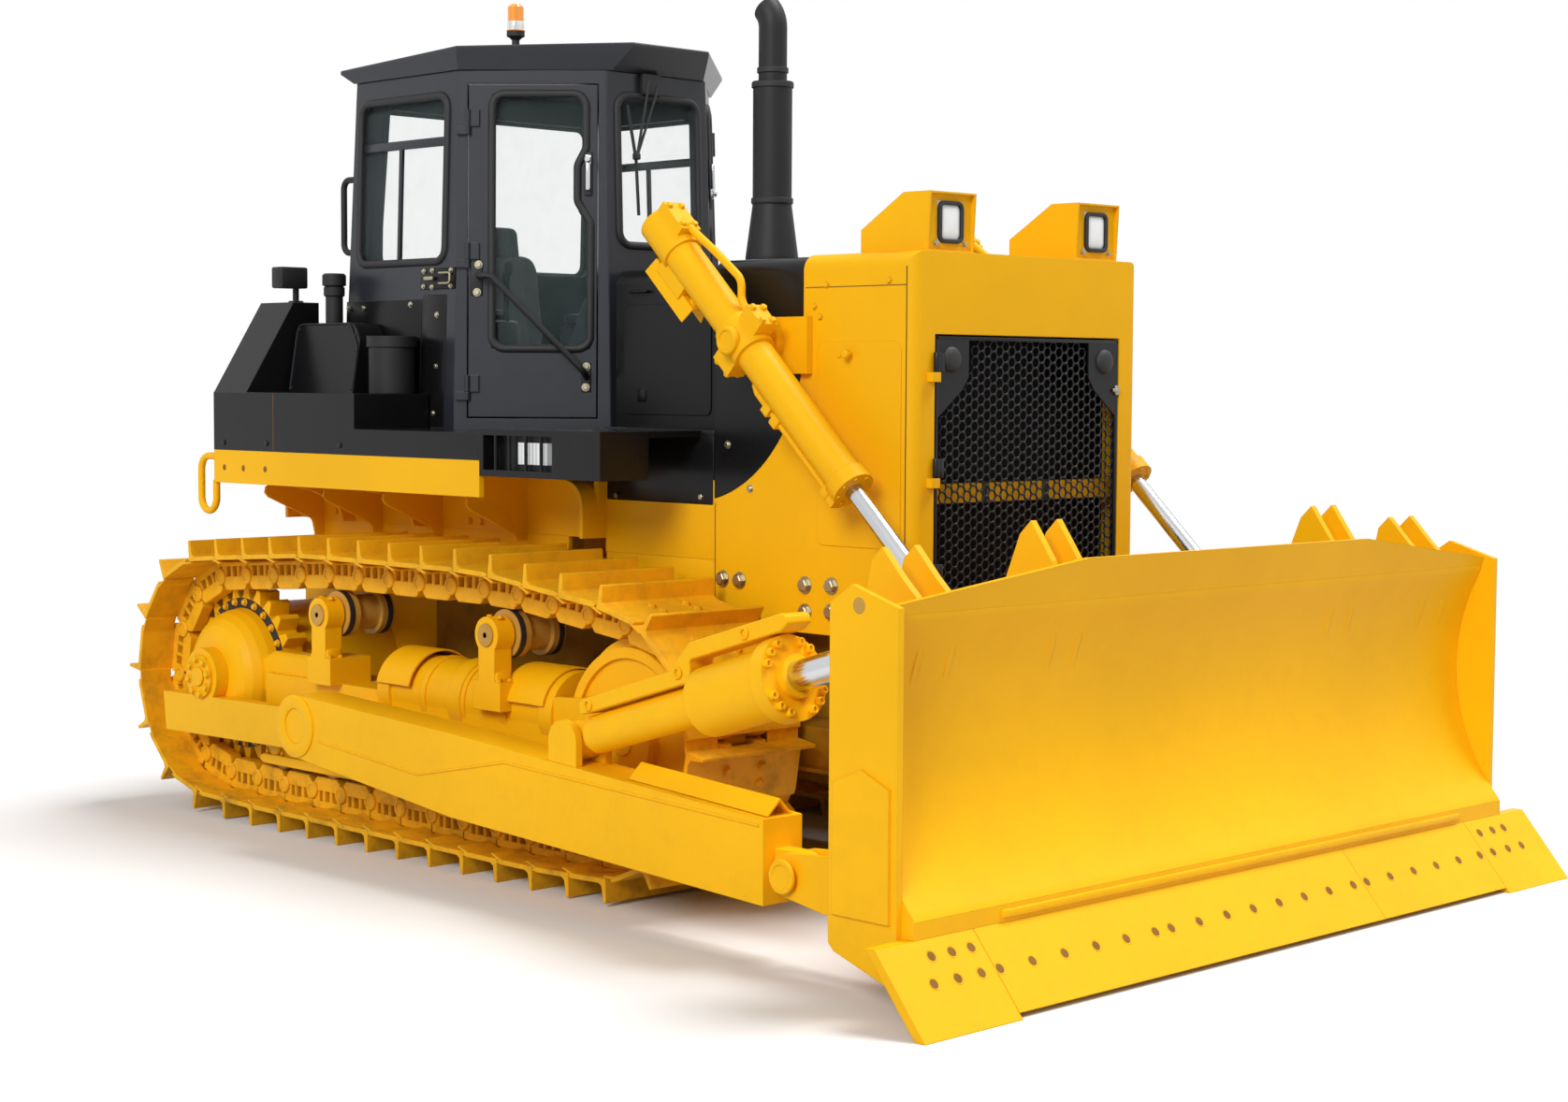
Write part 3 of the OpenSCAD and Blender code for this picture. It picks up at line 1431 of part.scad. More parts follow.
// Six-sided openings in rows, left out of the two upper corners, which carry round rubber stops
module grille_cells() {
  row_h = cell_pitch*sqrt(3)/2;
  half = grille_half - grille_frame - cell_pitch/2;
  low = grille_low_z + grille_frame + cell_pitch/2;
  high = grille_top_z - grille_frame - cell_pitch/2;
  for (row = [0 : floor((high - low)/row_h)], col = [-ceil(half/cell_pitch) : ceil(half/cell_pitch)]) {
    y = (col + (row % 2)/2)*cell_pitch;
    z = low + row*row_h;
    in_corner = abs(y) > grille_half - grille_corner && z > grille_top_z - grille_corner - cell_pitch;
    if (abs(y) <= half && !in_corner)
      translate([y, z]) rotate(30) circle(r = (cell_pitch - cell_wall)/sqrt(3), $fn = 6);
  }
}
module grille_door() {
  color(black) machine() difference() {
    union() {
      along(guard_front_x - grille_t, guard_front_x) difference() {
        translate([-grille_half, grille_low_z]) square([2*grille_half, grille_top_z - grille_low_z]);
        grille_cells();
      }
      for (side = [-1, 1]) translate([0, side*(grille_half - dome_set), grille_top_z - dome_set])
        shaft(guard_front_x - lap, guard_front_x + grille_hinge_out, dome_r);
      on_grille_hinge() {
        translate([0, 0, -hinge_l/2]) cylinder(h = hinge_l, r = grille_knuckle_r);
        translate([-grille_knuckle_r, 0, -hinge_l/2]) cube([grille_knuckle_r, hinge_leaf, hinge_l]);
        translate([-grille_hinge_out - lap, grille_hinge_side, -hinge_l/2])
          cube([grille_hinge_out + lap, hinge_leaf - grille_hinge_side, hinge_l]);
      }
    }
    on_grille_hinge() translate([0, 0, -hinge_l]) cylinder(h = 2*hinge_l, r = grille_pin_r + pin_play);
  }
}

// Push arms, tilt cylinder and brace
arm_front_x = 3855;
arm_rear_r = 128;
arm_rear_h = 255;
arm_knee_x = 2154;
arm_knee_low_z = 285;
arm_knee_top_z = 603;
arm_front_low_z = 204;
arm_front_h = 288;
tilt_eye_w = 96;
tilt_pin_r = 40;
tilt_lug_r = 78;
lug_t = 30;
lug_foot_z = 500;
arm_lug_w = 70;
arm_lug_r = 74;

module arm_outline() {
  translate([trunnion_x, trunnion_z]) circle(r = arm_rear_r);
  polygon([
    [trunnion_x, trunnion_z + arm_rear_h/2], [trunnion_x, trunnion_z - arm_rear_h/2],
    [arm_knee_x, arm_knee_low_z], [arm_front_x, arm_front_low_z], [arm_front_x, arm_front_low_z + arm_front_h],
    [arm_knee_x, arm_knee_top_z]
  ]);
}
module push_arm() {
  difference() {
    union() {
      plate(arm_in, arm_in + arm_w) arm_outline();
      // Lug for the blade pin
      plate(arm_mid - arm_lug_w/2, arm_mid + arm_lug_w/2) {
        translate([blade_pin_x, blade_pin_z]) circle(r = arm_lug_r);
        translate([arm_front_x - lap, blade_pin_z - arm_lug_r])
          square([blade_pin_x - arm_front_x + lap, 2*arm_lug_r]);
      }
      // Ears and pin of the tilt cylinder's rear eye
      plate_pair(arm_mid, tilt_eye_w + ear_play, lug_t) {
        translate([tilt_pin_x, tilt_pin_z]) circle(r = tilt_lug_r);
        translate([tilt_pin_x - tilt_lug_r, lug_foot_z]) square([2*tilt_lug_r, tilt_pin_z - lug_foot_z]);
      }
      bar(tilt_pin_x, tilt_pin_z, tilt_pin_r, arm_mid - tilt_eye_w/2 - ear_play,
        arm_mid + tilt_eye_w/2 + ear_play);
    }
    bar(trunnion_x, trunnion_z, trunnion_r + pin_play, arm_in - lap, arm_in + arm_w + lap);
    bar(blade_pin_x, blade_pin_z, blade_pin_r + pin_play, arm_in, arm_in + arm_w);
  }
}
module push_arms() { color(paint) machine() both_sides() push_arm(); }

tilt_neck = 105;
tilt_head = 720;
tilt_gland = 1140;
tilt_rod_l = 620;
tilt_stroke = 220;
tilt_tube_r = 70;
tilt_eye_step = 8;
tilt_flange_l = 60;
tilt_flange = 24;
tilt_boss_l = 26;
tilt_boss = 22;
brace_step = 10;
// Cylinder or brace tube: eye, neck, tube, body and bolted end flange
module tilt_strut(tube_r, body_r, rod_r) {
  inclined(tilt_pin_x, arm_mid, tilt_pin_z, tilt_angle) difference() {
    union() {
      bar(0, 0, tilt_lug_r - tilt_eye_step, -tilt_eye_w/2, tilt_eye_w/2);
      shaft(0, tilt_neck + lap, tilt_eye_w/2 - seat);
      shaft(tilt_neck, tilt_head + lap, tube_r);
      shaft(tilt_head, tilt_gland, body_r);
      shaft(tilt_gland - tilt_flange_l, tilt_gland, body_r + tilt_flange);
      shaft(tilt_gland - lap, tilt_gland + tilt_boss_l, rod_r + tilt_boss);
    }
    bar(0, 0, tilt_pin_r + pin_play, -tilt_eye_w, tilt_eye_w);
    shaft(tilt_reach - tilt_rod_l - tilt_stroke, tilt_gland + tilt_boss_l + lap, rod_r + pin_play);
  }
}
module tilt_eye_rod(rod_r) {
  inclined(tilt_pin_x, arm_mid, tilt_pin_z, tilt_angle) difference() {
    union() {
      shaft(tilt_reach - tilt_rod_l, tilt_reach, rod_r);
      bar(tilt_reach, 0, tilt_lug_r, -tilt_eye_w/2, tilt_eye_w/2);
    }
    bar(tilt_reach, 0, tilt_pin_r, -tilt_eye_w, tilt_eye_w);
  }
}
module tilt_barrel() { color(paint) machine() mirrored() tilt_strut(tilt_tube_r, tilt_barrel_r, tilt_rod_r); }
module tilt_rod() { color(chrome) machine() mirrored() tilt_eye_rod(tilt_rod_r); }
brace_screw_r = tilt_rod_r - tilt_eye_step;
module brace_tube() {
  color(paint) machine() tilt_strut(tilt_tube_r, tilt_tube_r + brace_step, brace_screw_r);
}
module brace_screw() { color(steel) machine() tilt_eye_rod(brace_screw_r); }

// Blade
edge_angle = 50;
edge_t = 32;
edge_top_z = 247;
bit_in = 1423;
bit_rise = 18;
edge_gap = 3;
// Front and back of the cutting edge at a height
function edge_front(z) = blade_tip_x - z/tan(edge_angle);
function edge_back(z) = edge_front(z) - edge_t/sin(edge_angle) - seat;
face_low_z = 300;
face_high_z = 1225;
face_z = 822;
face_x = edge_front(edge_top_z) + sqrt(face_r*face_r - (face_z - face_low_z)*(face_z - face_low_z));
function face_at(z) = face_x - sqrt(face_r*face_r - (z - face_z)*(z - face_z));
face_steps = 12;
crest_set = 52;
crest_x = edge_front(edge_top_z) - crest_set;
crest_half = 807;
foot_z = 75;
sole_rear_z = 170;
box_rear_x = 4400;
box_roof_z = 420;
end_rear_x = 4350;
end_front_x = 4640;
end_lobe_z = 1313;
horn_x = 4444;
horn_z = 1480;
horn_w = 90;
tilt_horn_z = 1416;
boss_l = 20;
fork_play = 6;
wear_low_z = 288;
wear_top_z = 700;
wear_t = 12;
edge_seam = 590;

module face_outline() {
  function zs(k) = face_low_z + (face_high_z - face_low_z)*k/face_steps;
  polygon(concat(
    [for (k = [0 : face_steps]) [face_at(zs(k)), zs(k)]],
    [[crest_x, blade_top_z], [crest_x - blade_t, blade_top_z]],
    [for (k = [face_steps : -1 : 0]) [face_at(zs(k)) - blade_t, zs(k)]]
  ));
}
// Pair of plates either side of a middle distance from the centre plane
module plate_pair(mid, gap, t) {
  for (low = [mid - gap/2 - t, mid + gap/2]) plate(low, low + t) children();
}
module blade_skin() {
  inner = end_plate_out - blade_t;
  intersection() {
    plate(-inner, inner) face_outline();
    translate([box_rear_x, 0, 0]) rotate([90, 0, 90]) linear_extrude(blade_tip_x - box_rear_x) polygon([
      [-end_plate_out, 0], [end_plate_out, 0], [end_plate_out, blade_end_z], [crest_half, blade_top_z],
      [-crest_half, blade_top_z], [-end_plate_out, blade_end_z]
    ]);
  }
  // Box beam behind the cutting edge
  plate(-inner, inner) polygon([
    [face_at(face_low_z), face_low_z], [edge_front(edge_top_z), edge_top_z + seat],
    [edge_back(edge_top_z), edge_top_z + seat],
    [edge_back(foot_z), foot_z], [edge_back(foot_z) - edge_top_z/2, foot_z], [box_rear_x, sole_rear_z],
    [box_rear_x, box_roof_z], [face_at(box_roof_z) - lap, box_roof_z]
  ]);
}
module blade_end() {
  plate(end_plate_out - blade_t, end_plate_out) polygon([
    [end_rear_x, sole_rear_z + blade_t], [end_rear_x, blade_end_z], [end_rear_x + horn_w, end_lobe_z],
    [end_front_x, blade_end_z],
    [end_front_x, edge_top_z + seat], [edge_back(edge_top_z), edge_top_z + seat], [edge_back(foot_z), foot_z],
    [edge_back(foot_z) - edge_top_z/2, foot_z], [end_rear_x + blade_t, sole_rear_z]
  ]);
  // Wear plate on the lower half
  plate(end_plate_out - lap, end_plate_out + wear_t) polygon([
    [end_rear_x + blade_t, wear_low_z], [end_rear_x + blade_t, wear_top_z],
    [(end_rear_x + end_front_x)/2, wear_top_z + blade_t*2],
    [end_front_x - blade_t, wear_top_z], [end_front_x - blade_t, wear_low_z]
  ]);
}
// Plate behind the face that carries a rod eye, with a horn that climbs to the given height
module ear_outline(eye_x, eye_z, eye_r, tip_x, tip_z) {
  polygon([
    [face_at(face_high_z) - blade_t/2, face_high_z], [tip_x + horn_w, (tip_z + face_high_z)/2], [tip_x, tip_z],
    [tip_x - horn_w/2, tip_z - horn_w/2], [eye_x, eye_z + eye_r], [eye_x - eye_r, eye_z],
    [eye_x, eye_z - eye_r],
    [box_rear_x, box_roof_z], [face_at(box_roof_z) - blade_t/2, box_roof_z],
    [face_at(face_z) - blade_t/2, face_z]
  ]);
}
module blade_brackets() {
  // Lift cylinder's ears and the short bosses that mark its pin
  plate_pair(lift_y, lift_eye_w + 2*ear_play, ear_t)
    ear_outline(lift_eye_x, lift_eye_z, lift_eye_r, horn_x, horn_z);
  plate_pair(lift_y, lift_eye_w + 2*ear_play + 2*ear_t, boss_l) translate([lift_eye_x, lift_eye_z])
    circle(r = lift_pin_r + boss_l);
  // Tilt cylinder's or brace's ears
  plate_pair(arm_mid, tilt_eye_w + 2*ear_play, ear_t)
    ear_outline(tilt_eye_x, tilt_eye_z, tilt_lug_r, tilt_eye_x + horn_w, tilt_horn_z);
  plate_pair(arm_mid, tilt_eye_w + 2*ear_play + 2*ear_t, boss_l) translate([tilt_eye_x, tilt_eye_z])
    circle(r = tilt_pin_r + boss_l);
  // Fork and pin on the push arm
  plate_pair(arm_mid, arm_lug_w + 2*fork_play, lug_t) {
    translate([blade_pin_x, blade_pin_z]) circle(r = arm_lug_r);
    polygon([
      [blade_pin_x, blade_pin_z + arm_lug_r], [box_rear_x + lap, box_roof_z], [box_rear_x + lap, sole_rear_z],
      [blade_pin_x, blade_pin_z - arm_lug_r]
    ]);
  }
  bar(blade_pin_x, blade_pin_z, blade_pin_r, arm_mid - arm_lug_w/2 - fork_play - lug_t - boss_l,
    arm_mid + arm_lug_w/2 + fork_play + lug_t + boss_l);
}
module moldboard() {
  color(paint) machine() {
    blade_skin();
    both_sides() {
      blade_end();
      blade_brackets();
    }
  }
}

module edge_outline(low_z) {
  polygon([
    [edge_front(low_z), low_z], [edge_front(edge_top_z), edge_top_z],
    [edge_back(edge_top_z) + seat, edge_top_z],
    [edge_back(low_z) + seat, low_z]
  ]);
}
module cutting_edges() {
  color(paint) machine() {
    plate(-bit_in + edge_gap, edge_seam - edge_gap/2) edge_outline(bit_rise);
    plate(edge_seam + edge_gap/2, bit_in - edge_gap) edge_outline(bit_rise);
    both_sides() plate(bit_in, blade_half) edge_outline(0);
  }
}

main_frame();
rear_case();
drawbar();
engine_block();
track_right();
track_left();
track_frames();
final_drives();
idlers();
carrier_rollers();
track_rollers();
radiator_guard();
radiator_core();
hood();
side_covers();
headlamps();
lamp_lenses();
exhaust();
fenders();
fuel_tank();
fender_boxes();
filter_canister();
lamp_boxes();
cab_floor();
cab_sides();
cab_front();
cab_rear();
cab_roof();
cab_glass();
seat_unit();
beacon();
handrails();
lift_yokes();
grille_door();
door_right();
door_left();
door_glass_right();
door_glass_left();
lift_barrel_right();
lift_barrel_left();
lift_rod_right();
lift_rod_left();
push_arms();
moldboard();
cutting_edges();
tilt_barrel();
tilt_rod();
brace_tube();
brace_screw();
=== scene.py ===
"""Looks of a track-type bulldozer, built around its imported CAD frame.

Sizes are in millimetres of the machine frame: x forward from the sprocket axis, y to the machine's left,
z up from the ground. They become metres of the row frame when a piece is made.
"""

import json
import logging
import math
from dataclasses import dataclass
from enum import Enum
from typing import Iterable, Optional, Sequence

import bmesh
import bpy
import numpy as np
from mathutils import Matrix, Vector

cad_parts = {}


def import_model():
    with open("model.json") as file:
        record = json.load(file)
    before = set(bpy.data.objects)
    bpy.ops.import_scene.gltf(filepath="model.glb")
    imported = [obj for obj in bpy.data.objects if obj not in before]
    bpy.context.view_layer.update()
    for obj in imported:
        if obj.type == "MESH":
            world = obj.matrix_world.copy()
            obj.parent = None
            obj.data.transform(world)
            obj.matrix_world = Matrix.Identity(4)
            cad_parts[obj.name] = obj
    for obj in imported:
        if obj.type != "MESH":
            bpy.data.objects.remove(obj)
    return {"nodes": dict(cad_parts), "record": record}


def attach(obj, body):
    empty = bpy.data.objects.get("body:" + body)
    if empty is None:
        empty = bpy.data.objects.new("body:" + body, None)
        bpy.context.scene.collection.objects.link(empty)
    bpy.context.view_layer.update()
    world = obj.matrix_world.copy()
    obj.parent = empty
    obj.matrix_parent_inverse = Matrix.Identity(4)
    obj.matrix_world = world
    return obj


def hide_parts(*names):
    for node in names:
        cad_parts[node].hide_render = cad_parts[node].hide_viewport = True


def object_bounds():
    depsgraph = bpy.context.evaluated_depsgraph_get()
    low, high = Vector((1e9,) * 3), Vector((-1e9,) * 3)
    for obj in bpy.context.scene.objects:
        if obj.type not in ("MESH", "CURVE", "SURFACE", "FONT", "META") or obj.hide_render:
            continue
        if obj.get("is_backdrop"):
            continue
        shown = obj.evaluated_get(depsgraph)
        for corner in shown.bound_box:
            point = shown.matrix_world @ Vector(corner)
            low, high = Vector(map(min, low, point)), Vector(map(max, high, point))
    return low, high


LOG = logging.getLogger("bulldozer")
MM = 0.001
DRAWBAR_REACH = 620.0  # from the drawbar's rear end to the sprocket axis
SMOOTH_ANGLE = math.radians(34)
WELD_DISTANCE = 1e-6
OFF_AXIS = 0.013  # keeps the normal of a tube's section from lying along a straight path
RIGHT, LEFT = -1, 1
SIDES = ((RIGHT, "right"), (LEFT, "left"))
CHASSIS = "chassis"

Array = np.ndarray
Point = Sequence[float]


def unit(vector: Point) -> Array:
    """Gives the vector at length one."""
    vector = np.asarray(vector, float)
    return vector / np.linalg.norm(vector)


def axes_on(normal: Point, up: Point = (0, 0, 1)) -> Array:
    """Gives three rows, the directions of local x, y and z, with z along a normal.

    Args:
        normal: Direction of the local z axis.
        up: Direction that local y follows as nearly as it can.

    Returns:
        A 3 by 3 array whose rows are the local axes.
    """
    z = unit(normal)
    if abs(z @ unit(up)) > 0.95:
        up = (1, 0, 0)
    x = unit(np.cross(up, z))
    return np.stack([x, np.cross(z, x), z])


class Shape:
    """Surfaces gathered as points and faces, in millimetres."""

    def __init__(self) -> None:
        """Starts with nothing in it."""
        self.points: list[Array] = []
        self.faces: list[list[int]] = []
        self.count = 0

    def grid(self, points: Array, close_u: bool = False, close_v: bool = False) -> "Shape":
        """Adds a surface whose points lie on a grid of two parameters.

        Args:
            points: Array of n by m by 3.
            close_u: Whether the last row joins the first one.
            close_v: Whether the last column joins the first one.

        Returns:
            This shape.
        """
        n, m = points.shape[:2]
        rows, columns = n if close_u else n - 1, m if close_v else m - 1
        u, v = np.meshgrid(np.arange(rows), np.arange(columns), indexing="ij")
        u2, v2 = (u + 1) % n, (v + 1) % m
        quads = np.stack([u * m + v, u2 * m + v, u2 * m + v2, u * m + v2], -1).reshape(-1, 4) + self.count
        self.faces += quads.tolist()
        self.points.append(points.reshape(-1, 3))
        self.count += n * m
        return self

    def ngon(self, points: Array) -> "Shape":
        """Adds one flat face.

        Args:
            points: Its corners in order, n by 3.

        Returns:
            This shape.
        """
        self.points.append(points)
        self.faces.append(list(range(self.count, self.count + len(points))))
        self.count += len(points)
        return self

    def add(self, *others: "Shape") -> "Shape":
        """Takes in the surfaces of other shapes.

        Args:
            *others: Shapes to take in.

        Returns:
            This shape.
        """
        for other in others:
            self.faces += [[i + self.count for i in face] for face in other.faces]
            self.points += other.points
            self.count += other.count
        return self

    def array(self) -> Array:
        """Gives all points as one array."""
        return np.concatenate(self.points)

    def placed(self, origin: Point, axes: Array = np.eye(3)) -> "Shape":
        """Gives a copy in another place: p = origin + the local point times the axes.

        Args:
            origin: Place of the local origin.
            axes: Array of 3 by 3 whose rows are the local axes.

        Returns:
            The copy.
        """
        out = Shape()
        out.points = [np.asarray(origin, float) + self.array() @ axes]
        out.faces, out.count = self.faces, self.count
        return out

    def copies(self, origins: Sequence[Point], axes: Array = np.eye(3)) -> "Shape":
        """Gives one copy at each origin, all points worked out at once.

        Args:
            origins: Places of the copies, n by 3.
            axes: Array of 3 by 3 for all, or n by 3 by 3.

        Returns:
            A shape that holds every copy.
        """
        origins = np.asarray(origins, float).reshape(-1, 3)
        axes = np.broadcast_to(axes, (len(origins), 3, 3))
        points = np.einsum("vk,nkj->nvj", self.array(), axes) + origins[:, None, :]
        out = Shape()
        out.points = [points.reshape(-1, 3)]
        out.count = len(origins) * self.count
        out.faces = [[i + n * self.count for i in face] for n in range(len(origins)) for face in self.faces]
        return out

    def mirrored(self) -> "Shape":
        """Gives the copy on the machine's other side."""
        return self.placed((0, 0, 0), np.diag((1.0, -1.0, 1.0)))


def lathe(profile: Sequence[Point], segments: int = 24) -> Shape:
    """Turns a profile of radius and height about local z: x = r cos a, y = r sin a, z = h.

    A profile that leaves the axis at one end is closed by a flat base, and one that never meets it is a ring.

    Args:
        profile: Radius and height of each point.
        segments: Facets round the axis.

    Returns:
        The closed turning.
    """
    ends = [point[0] > 0 for point in (profile[0], profile[-1])]
    if ends[0] != ends[1]:
        profile = [(0, profile[0][1]), *profile] if ends[0] else [*profile, (0, profile[-1][1])]
    r, h = np.asarray(profile, float).T
    a = np.linspace(0, 2 * np.pi, segments, endpoint=False)
    points = np.stack([np.outer(r, np.cos(a)), np.outer(r, np.sin(a)), np.outer(h, np.ones(segments))], -1)
    return Shape().grid(points, close_u=all(ends), close_v=True)


def block(low: Point, high: Point, radius: float = 4, steps: int = 2) -> Shape:
    """Rounded box: the direction of a sphere point, scaled by the radius, added to the nearest corner.

    Args:
        low: Lowest corner.
        high: Highest corner.
        radius: Radius of the rounded edges.
        steps: Facets of each rounded edge.

    Returns:
        The closed box.
    """
    low, high = np.minimum(low, high), np.maximum(low, high)
    half = (high - low) / 2
    radius = min(radius, half.min() * 0.98)
    quarter = np.linspace(0, np.pi / 2, steps + 1)
    turn = np.concatenate([quarter + k * np.pi / 2 for k in range(4)])
    rise = np.concatenate([quarter - np.pi / 2, quarter])
    turn_sign = np.stack([np.repeat([1, -1, -1, 1], steps + 1), np.repeat([1, 1, -1, -1], steps + 1)], -1)
    rise_sign = np.repeat([-1, 1], steps + 1)
    sphere = np.stack([np.outer(np.cos(rise), np.cos(turn)), np.outer(np.cos(rise), np.sin(turn)),
                       np.outer(np.sin(rise), np.ones(len(turn)))], -1)
    corner = np.stack([np.broadcast_to(turn_sign[:, 0], sphere.shape[:2]),
                       np.broadcast_to(turn_sign[:, 1], sphere.shape[:2]),
                       np.broadcast_to(rise_sign[:, None], sphere.shape[:2])], -1)
    points = (low + high) / 2 + corner * (half - radius) + sphere * radius
    shape = Shape().grid(points, close_v=True)
    return shape.ngon(points[0][::-1]).ngon(points[-1])


def fillet(corners: Sequence[Point], radius: float, steps: int = 6, closed: bool = True) -> Array:
    """Rounds the corners of a line: each becomes an arc that leaves and meets its two sides.

    Args:
        corners: Corner points in two or three dimensions.
        radius: Radius of the arcs.
        steps: Facets of each arc.
        closed: Whether the last corner joins the first one.

    Returns:
        Points of the rounded line.
    """
    corners = np.asarray(corners, float)
    out = []
    for k, corner in enumerate(corners):
        if not closed and k in (0, len(corners) - 1):
            out.append(corner[None])
            continue
        before, after = corners[k - 1] - corner, corners[(k + 1) % len(corners)] - corner
        reach = min(np.linalg.norm(before), np.linalg.norm(after)) * 0.49
        a, b = unit(before), unit(after)
        half = math.acos(np.clip(a @ b, -1, 1)) / 2
        set_back = min(radius / math.tan(half), reach) if half < 1.56 else 0
        if set_back == 0:
            out.append(corner[None])
            continue
        arc_r = set_back * math.tan(half)
        middle = corner + unit(a + b) * arc_r / math.sin(half)
        start, end = corner + a * set_back - middle, corner + b * set_back - middle
        sweep = np.pi - 2 * half
        t = np.linspace(0, 1, steps + 1)[:, None]
        out.append(middle + (np.sin((1 - t) * sweep) * start + np.sin(t * sweep) * end) / math.sin(sweep))
    return np.concatenate(out)


def sweep(path: Array, section: Array, normal: Point, closed: bool = False) -> Shape:
    """Carries a flat section along a path: p = path + s0 side + s1 normal, side = normal x tangent.

    Args:
        path: Points of the path, n by 3.
        section: Points of the closed section, m by 2.
        normal: Direction that the section's second axis follows.
        closed: Whether the path is a ring.

    Returns:
        The swept surface, with end faces where the path is open.
    """
    path = np.asarray(path, float)
    tangent = (np.roll(path, -1, 0) - np.roll(path, 1, 0)) if closed else np.gradient(path, axis=0)
    tangent /= np.linalg.norm(tangent, axis=1, keepdims=True)
    side = np.cross(normal, tangent)
    side /= np.linalg.norm(side, axis=1, keepdims=True)
    top = np.cross(tangent, side)
    section = np.asarray(section, float)
    points = path[:, None] + section[None, :, :1] * side[:, None] + section[None, :, 1:] * top[:, None]
    shape = Shape().grid(points, close_u=closed, close_v=True)
    if not closed:
        shape.ngon(points[0][::-1]).ngon(points[-1])
    return shape


def circle(radius: float, segments: int = 12, start: float = 0) -> Array:
    """Gives a closed ring of points in two dimensions."""
    a = np.linspace(0, 2 * np.pi, segments, endpoint=False) + start
    return radius * np.stack([np.cos(a), np.sin(a)], -1)


def tube(corners: Sequence[Point], radius: float, bend: float = 0, segments: int = 12) -> Shape:
    """Round bar along a bent line, its section carried along the line.

    Args:
        corners: Corner points of the line.
        radius: Radius of the bar.
        bend: Radius of its bends.
        segments: Facets of the section.

    Returns:
        The closed bar.
    """
    path = fillet(corners, bend, closed=False) if bend else np.asarray(corners, float)
    spread = np.ptp(path, axis=0)
    normal = np.eye(3)[int(np.argmin(spread))] + OFF_AXIS
    return sweep(path, circle(radius, segments), unit(normal))


def prism(outline: Sequence[Point], low: float, high: float, bevel: float = 2) -> Shape:
    """Raises an outline in local x and y to a plate along z, its rims cut back by a small bevel.

    Args:
        outline: Corner points in order.
        low: Height of the lower face.
        high: Height of the upper face.
        bevel: Width of the bevels.

    Returns:
        The closed plate.
    """
    ring = np.asarray(outline, float)
    edge = np.roll(ring, -1, 0) - ring
    area = np.sum(ring[:, 0] * np.roll(ring[:, 1], -1) - ring[:, 1] * np.roll(ring[:, 0], -1))
    normal = np.stack([edge[:, 1], -edge[:, 0]], -1) * np.sign(area)
    normal /= np.maximum(np.linalg.norm(normal, axis=1, keepdims=True), 1e-9)
    miter = normal + np.roll(normal, 1, 0)
    miter /= np.maximum(np.sum(miter * normal, 1, keepdims=True), 0.4)
    cut = ring - miter * bevel
    rings = [(cut, low), (ring, low + bevel), (ring, high - bevel), (cut, high)]
    points = np.stack([np.column_stack([flat, np.full(len(ring), z)]) for flat, z in rings])
    return Shape().grid(points, close_v=True).ngon(points[0][::-1]).ngon(points[-1])


XZ = np.array([(1.0, 0, 0), (0, 0, 1.0), (0, -1.0, 0)])
YZ = np.array([(0, 1.0, 0), (0, 0, 1.0), (1.0, 0, 0)])


def side_plate(outline: Sequence[Point], near: float, far: float, bevel: float = 2) -> Shape:
    """Plate whose outline is drawn in x and z, between two places in y."""
    return prism(outline, -max(near, far), -min(near, far), bevel).placed((0, 0, 0), XZ)


def seam(low: Point, high: Point, face: float) -> Shape:
    """Thin strip for the gap between two panels, from its corners in x and z and the face that it lies on."""
    (x0, z0), (x1, z1) = low, high
    return side_plate([(x0, z0), (x1, z0), (x1, z1), (x0, z1)], face - 1, face + 0.6, 0.2)


def on_side(spots: Sequence[Point], y: float) -> Array:
    """Gives places at one distance from the centre plane, from their x and z."""
    x, z = np.asarray(spots, float).T
    return np.stack([x, np.full(len(x), y), z], -1)


def pitched(angle: float) -> Array:
    """Gives axes turned about y, whose x climbs by an angle in degrees."""
    a = math.radians(angle)
    return np.array([(math.cos(a), 0, math.sin(a)), (0, 1.0, 0), (-math.sin(a), 0, math.cos(a))])


def hex_bolt(radius: float, height: float) -> Shape:
    """Bolt head on a washer: a six-sided turning with a chamfered top over a thin round one.

    Args:
        radius: Radius over the head's corners.
        height: Height of the head without its washer.

    Returns:
        The bolt, standing on local z.
    """
    head = lathe([(0, 0), (radius, 0), (radius, height * 0.82), (radius * 0.84, height), (0, height)], 6)
    washer = lathe([(0, 0), (radius * 1.32, 0), (radius * 1.32, height * 0.2), (0, height * 0.2)], 14)
    return washer.add(head.placed((0, 0, height * 0.2)))


def socket_bolt(radius: float, height: float) -> Shape:
    """Round bolt head with a sunk socket, turned from one profile."""
    profile = [(0, 0), (1, 0), (1, 0.86), (0.88, 1), (0.56, 1), (0.5, 0.55), (0, 0.55)]
    return lathe(np.array(profile) * (radius, height), 12)


class Finish(Enum):
    """Finishes. Those up to the rods' chrome are slots of the record, and SLOTS gives the others' slots."""

    YELLOW = "yellow_paint"
    TRACK = "track_paint"
    CHARCOAL = "charcoal_paint"
    ENGINE = "engine_paint"
    ROLLER = "roller_steel"
    CORE = "radiator_core"
    LAMP = "lamp_glass"
    STACK = "stack_paint"
    WINDOW = "window_glass"
    SEAT = "seat_cover"
    BEACON = "beacon_lens"
    GRILLE = "grille_paint"
    CHROME = "rod_chrome"
    RUBBER = "rubber"
    ZINC = "zinc"
    SHADOW = "shadow"
    BLACK = "black_paint"
    GRIME_AND_SHADE = "grime_and_shade_paint"


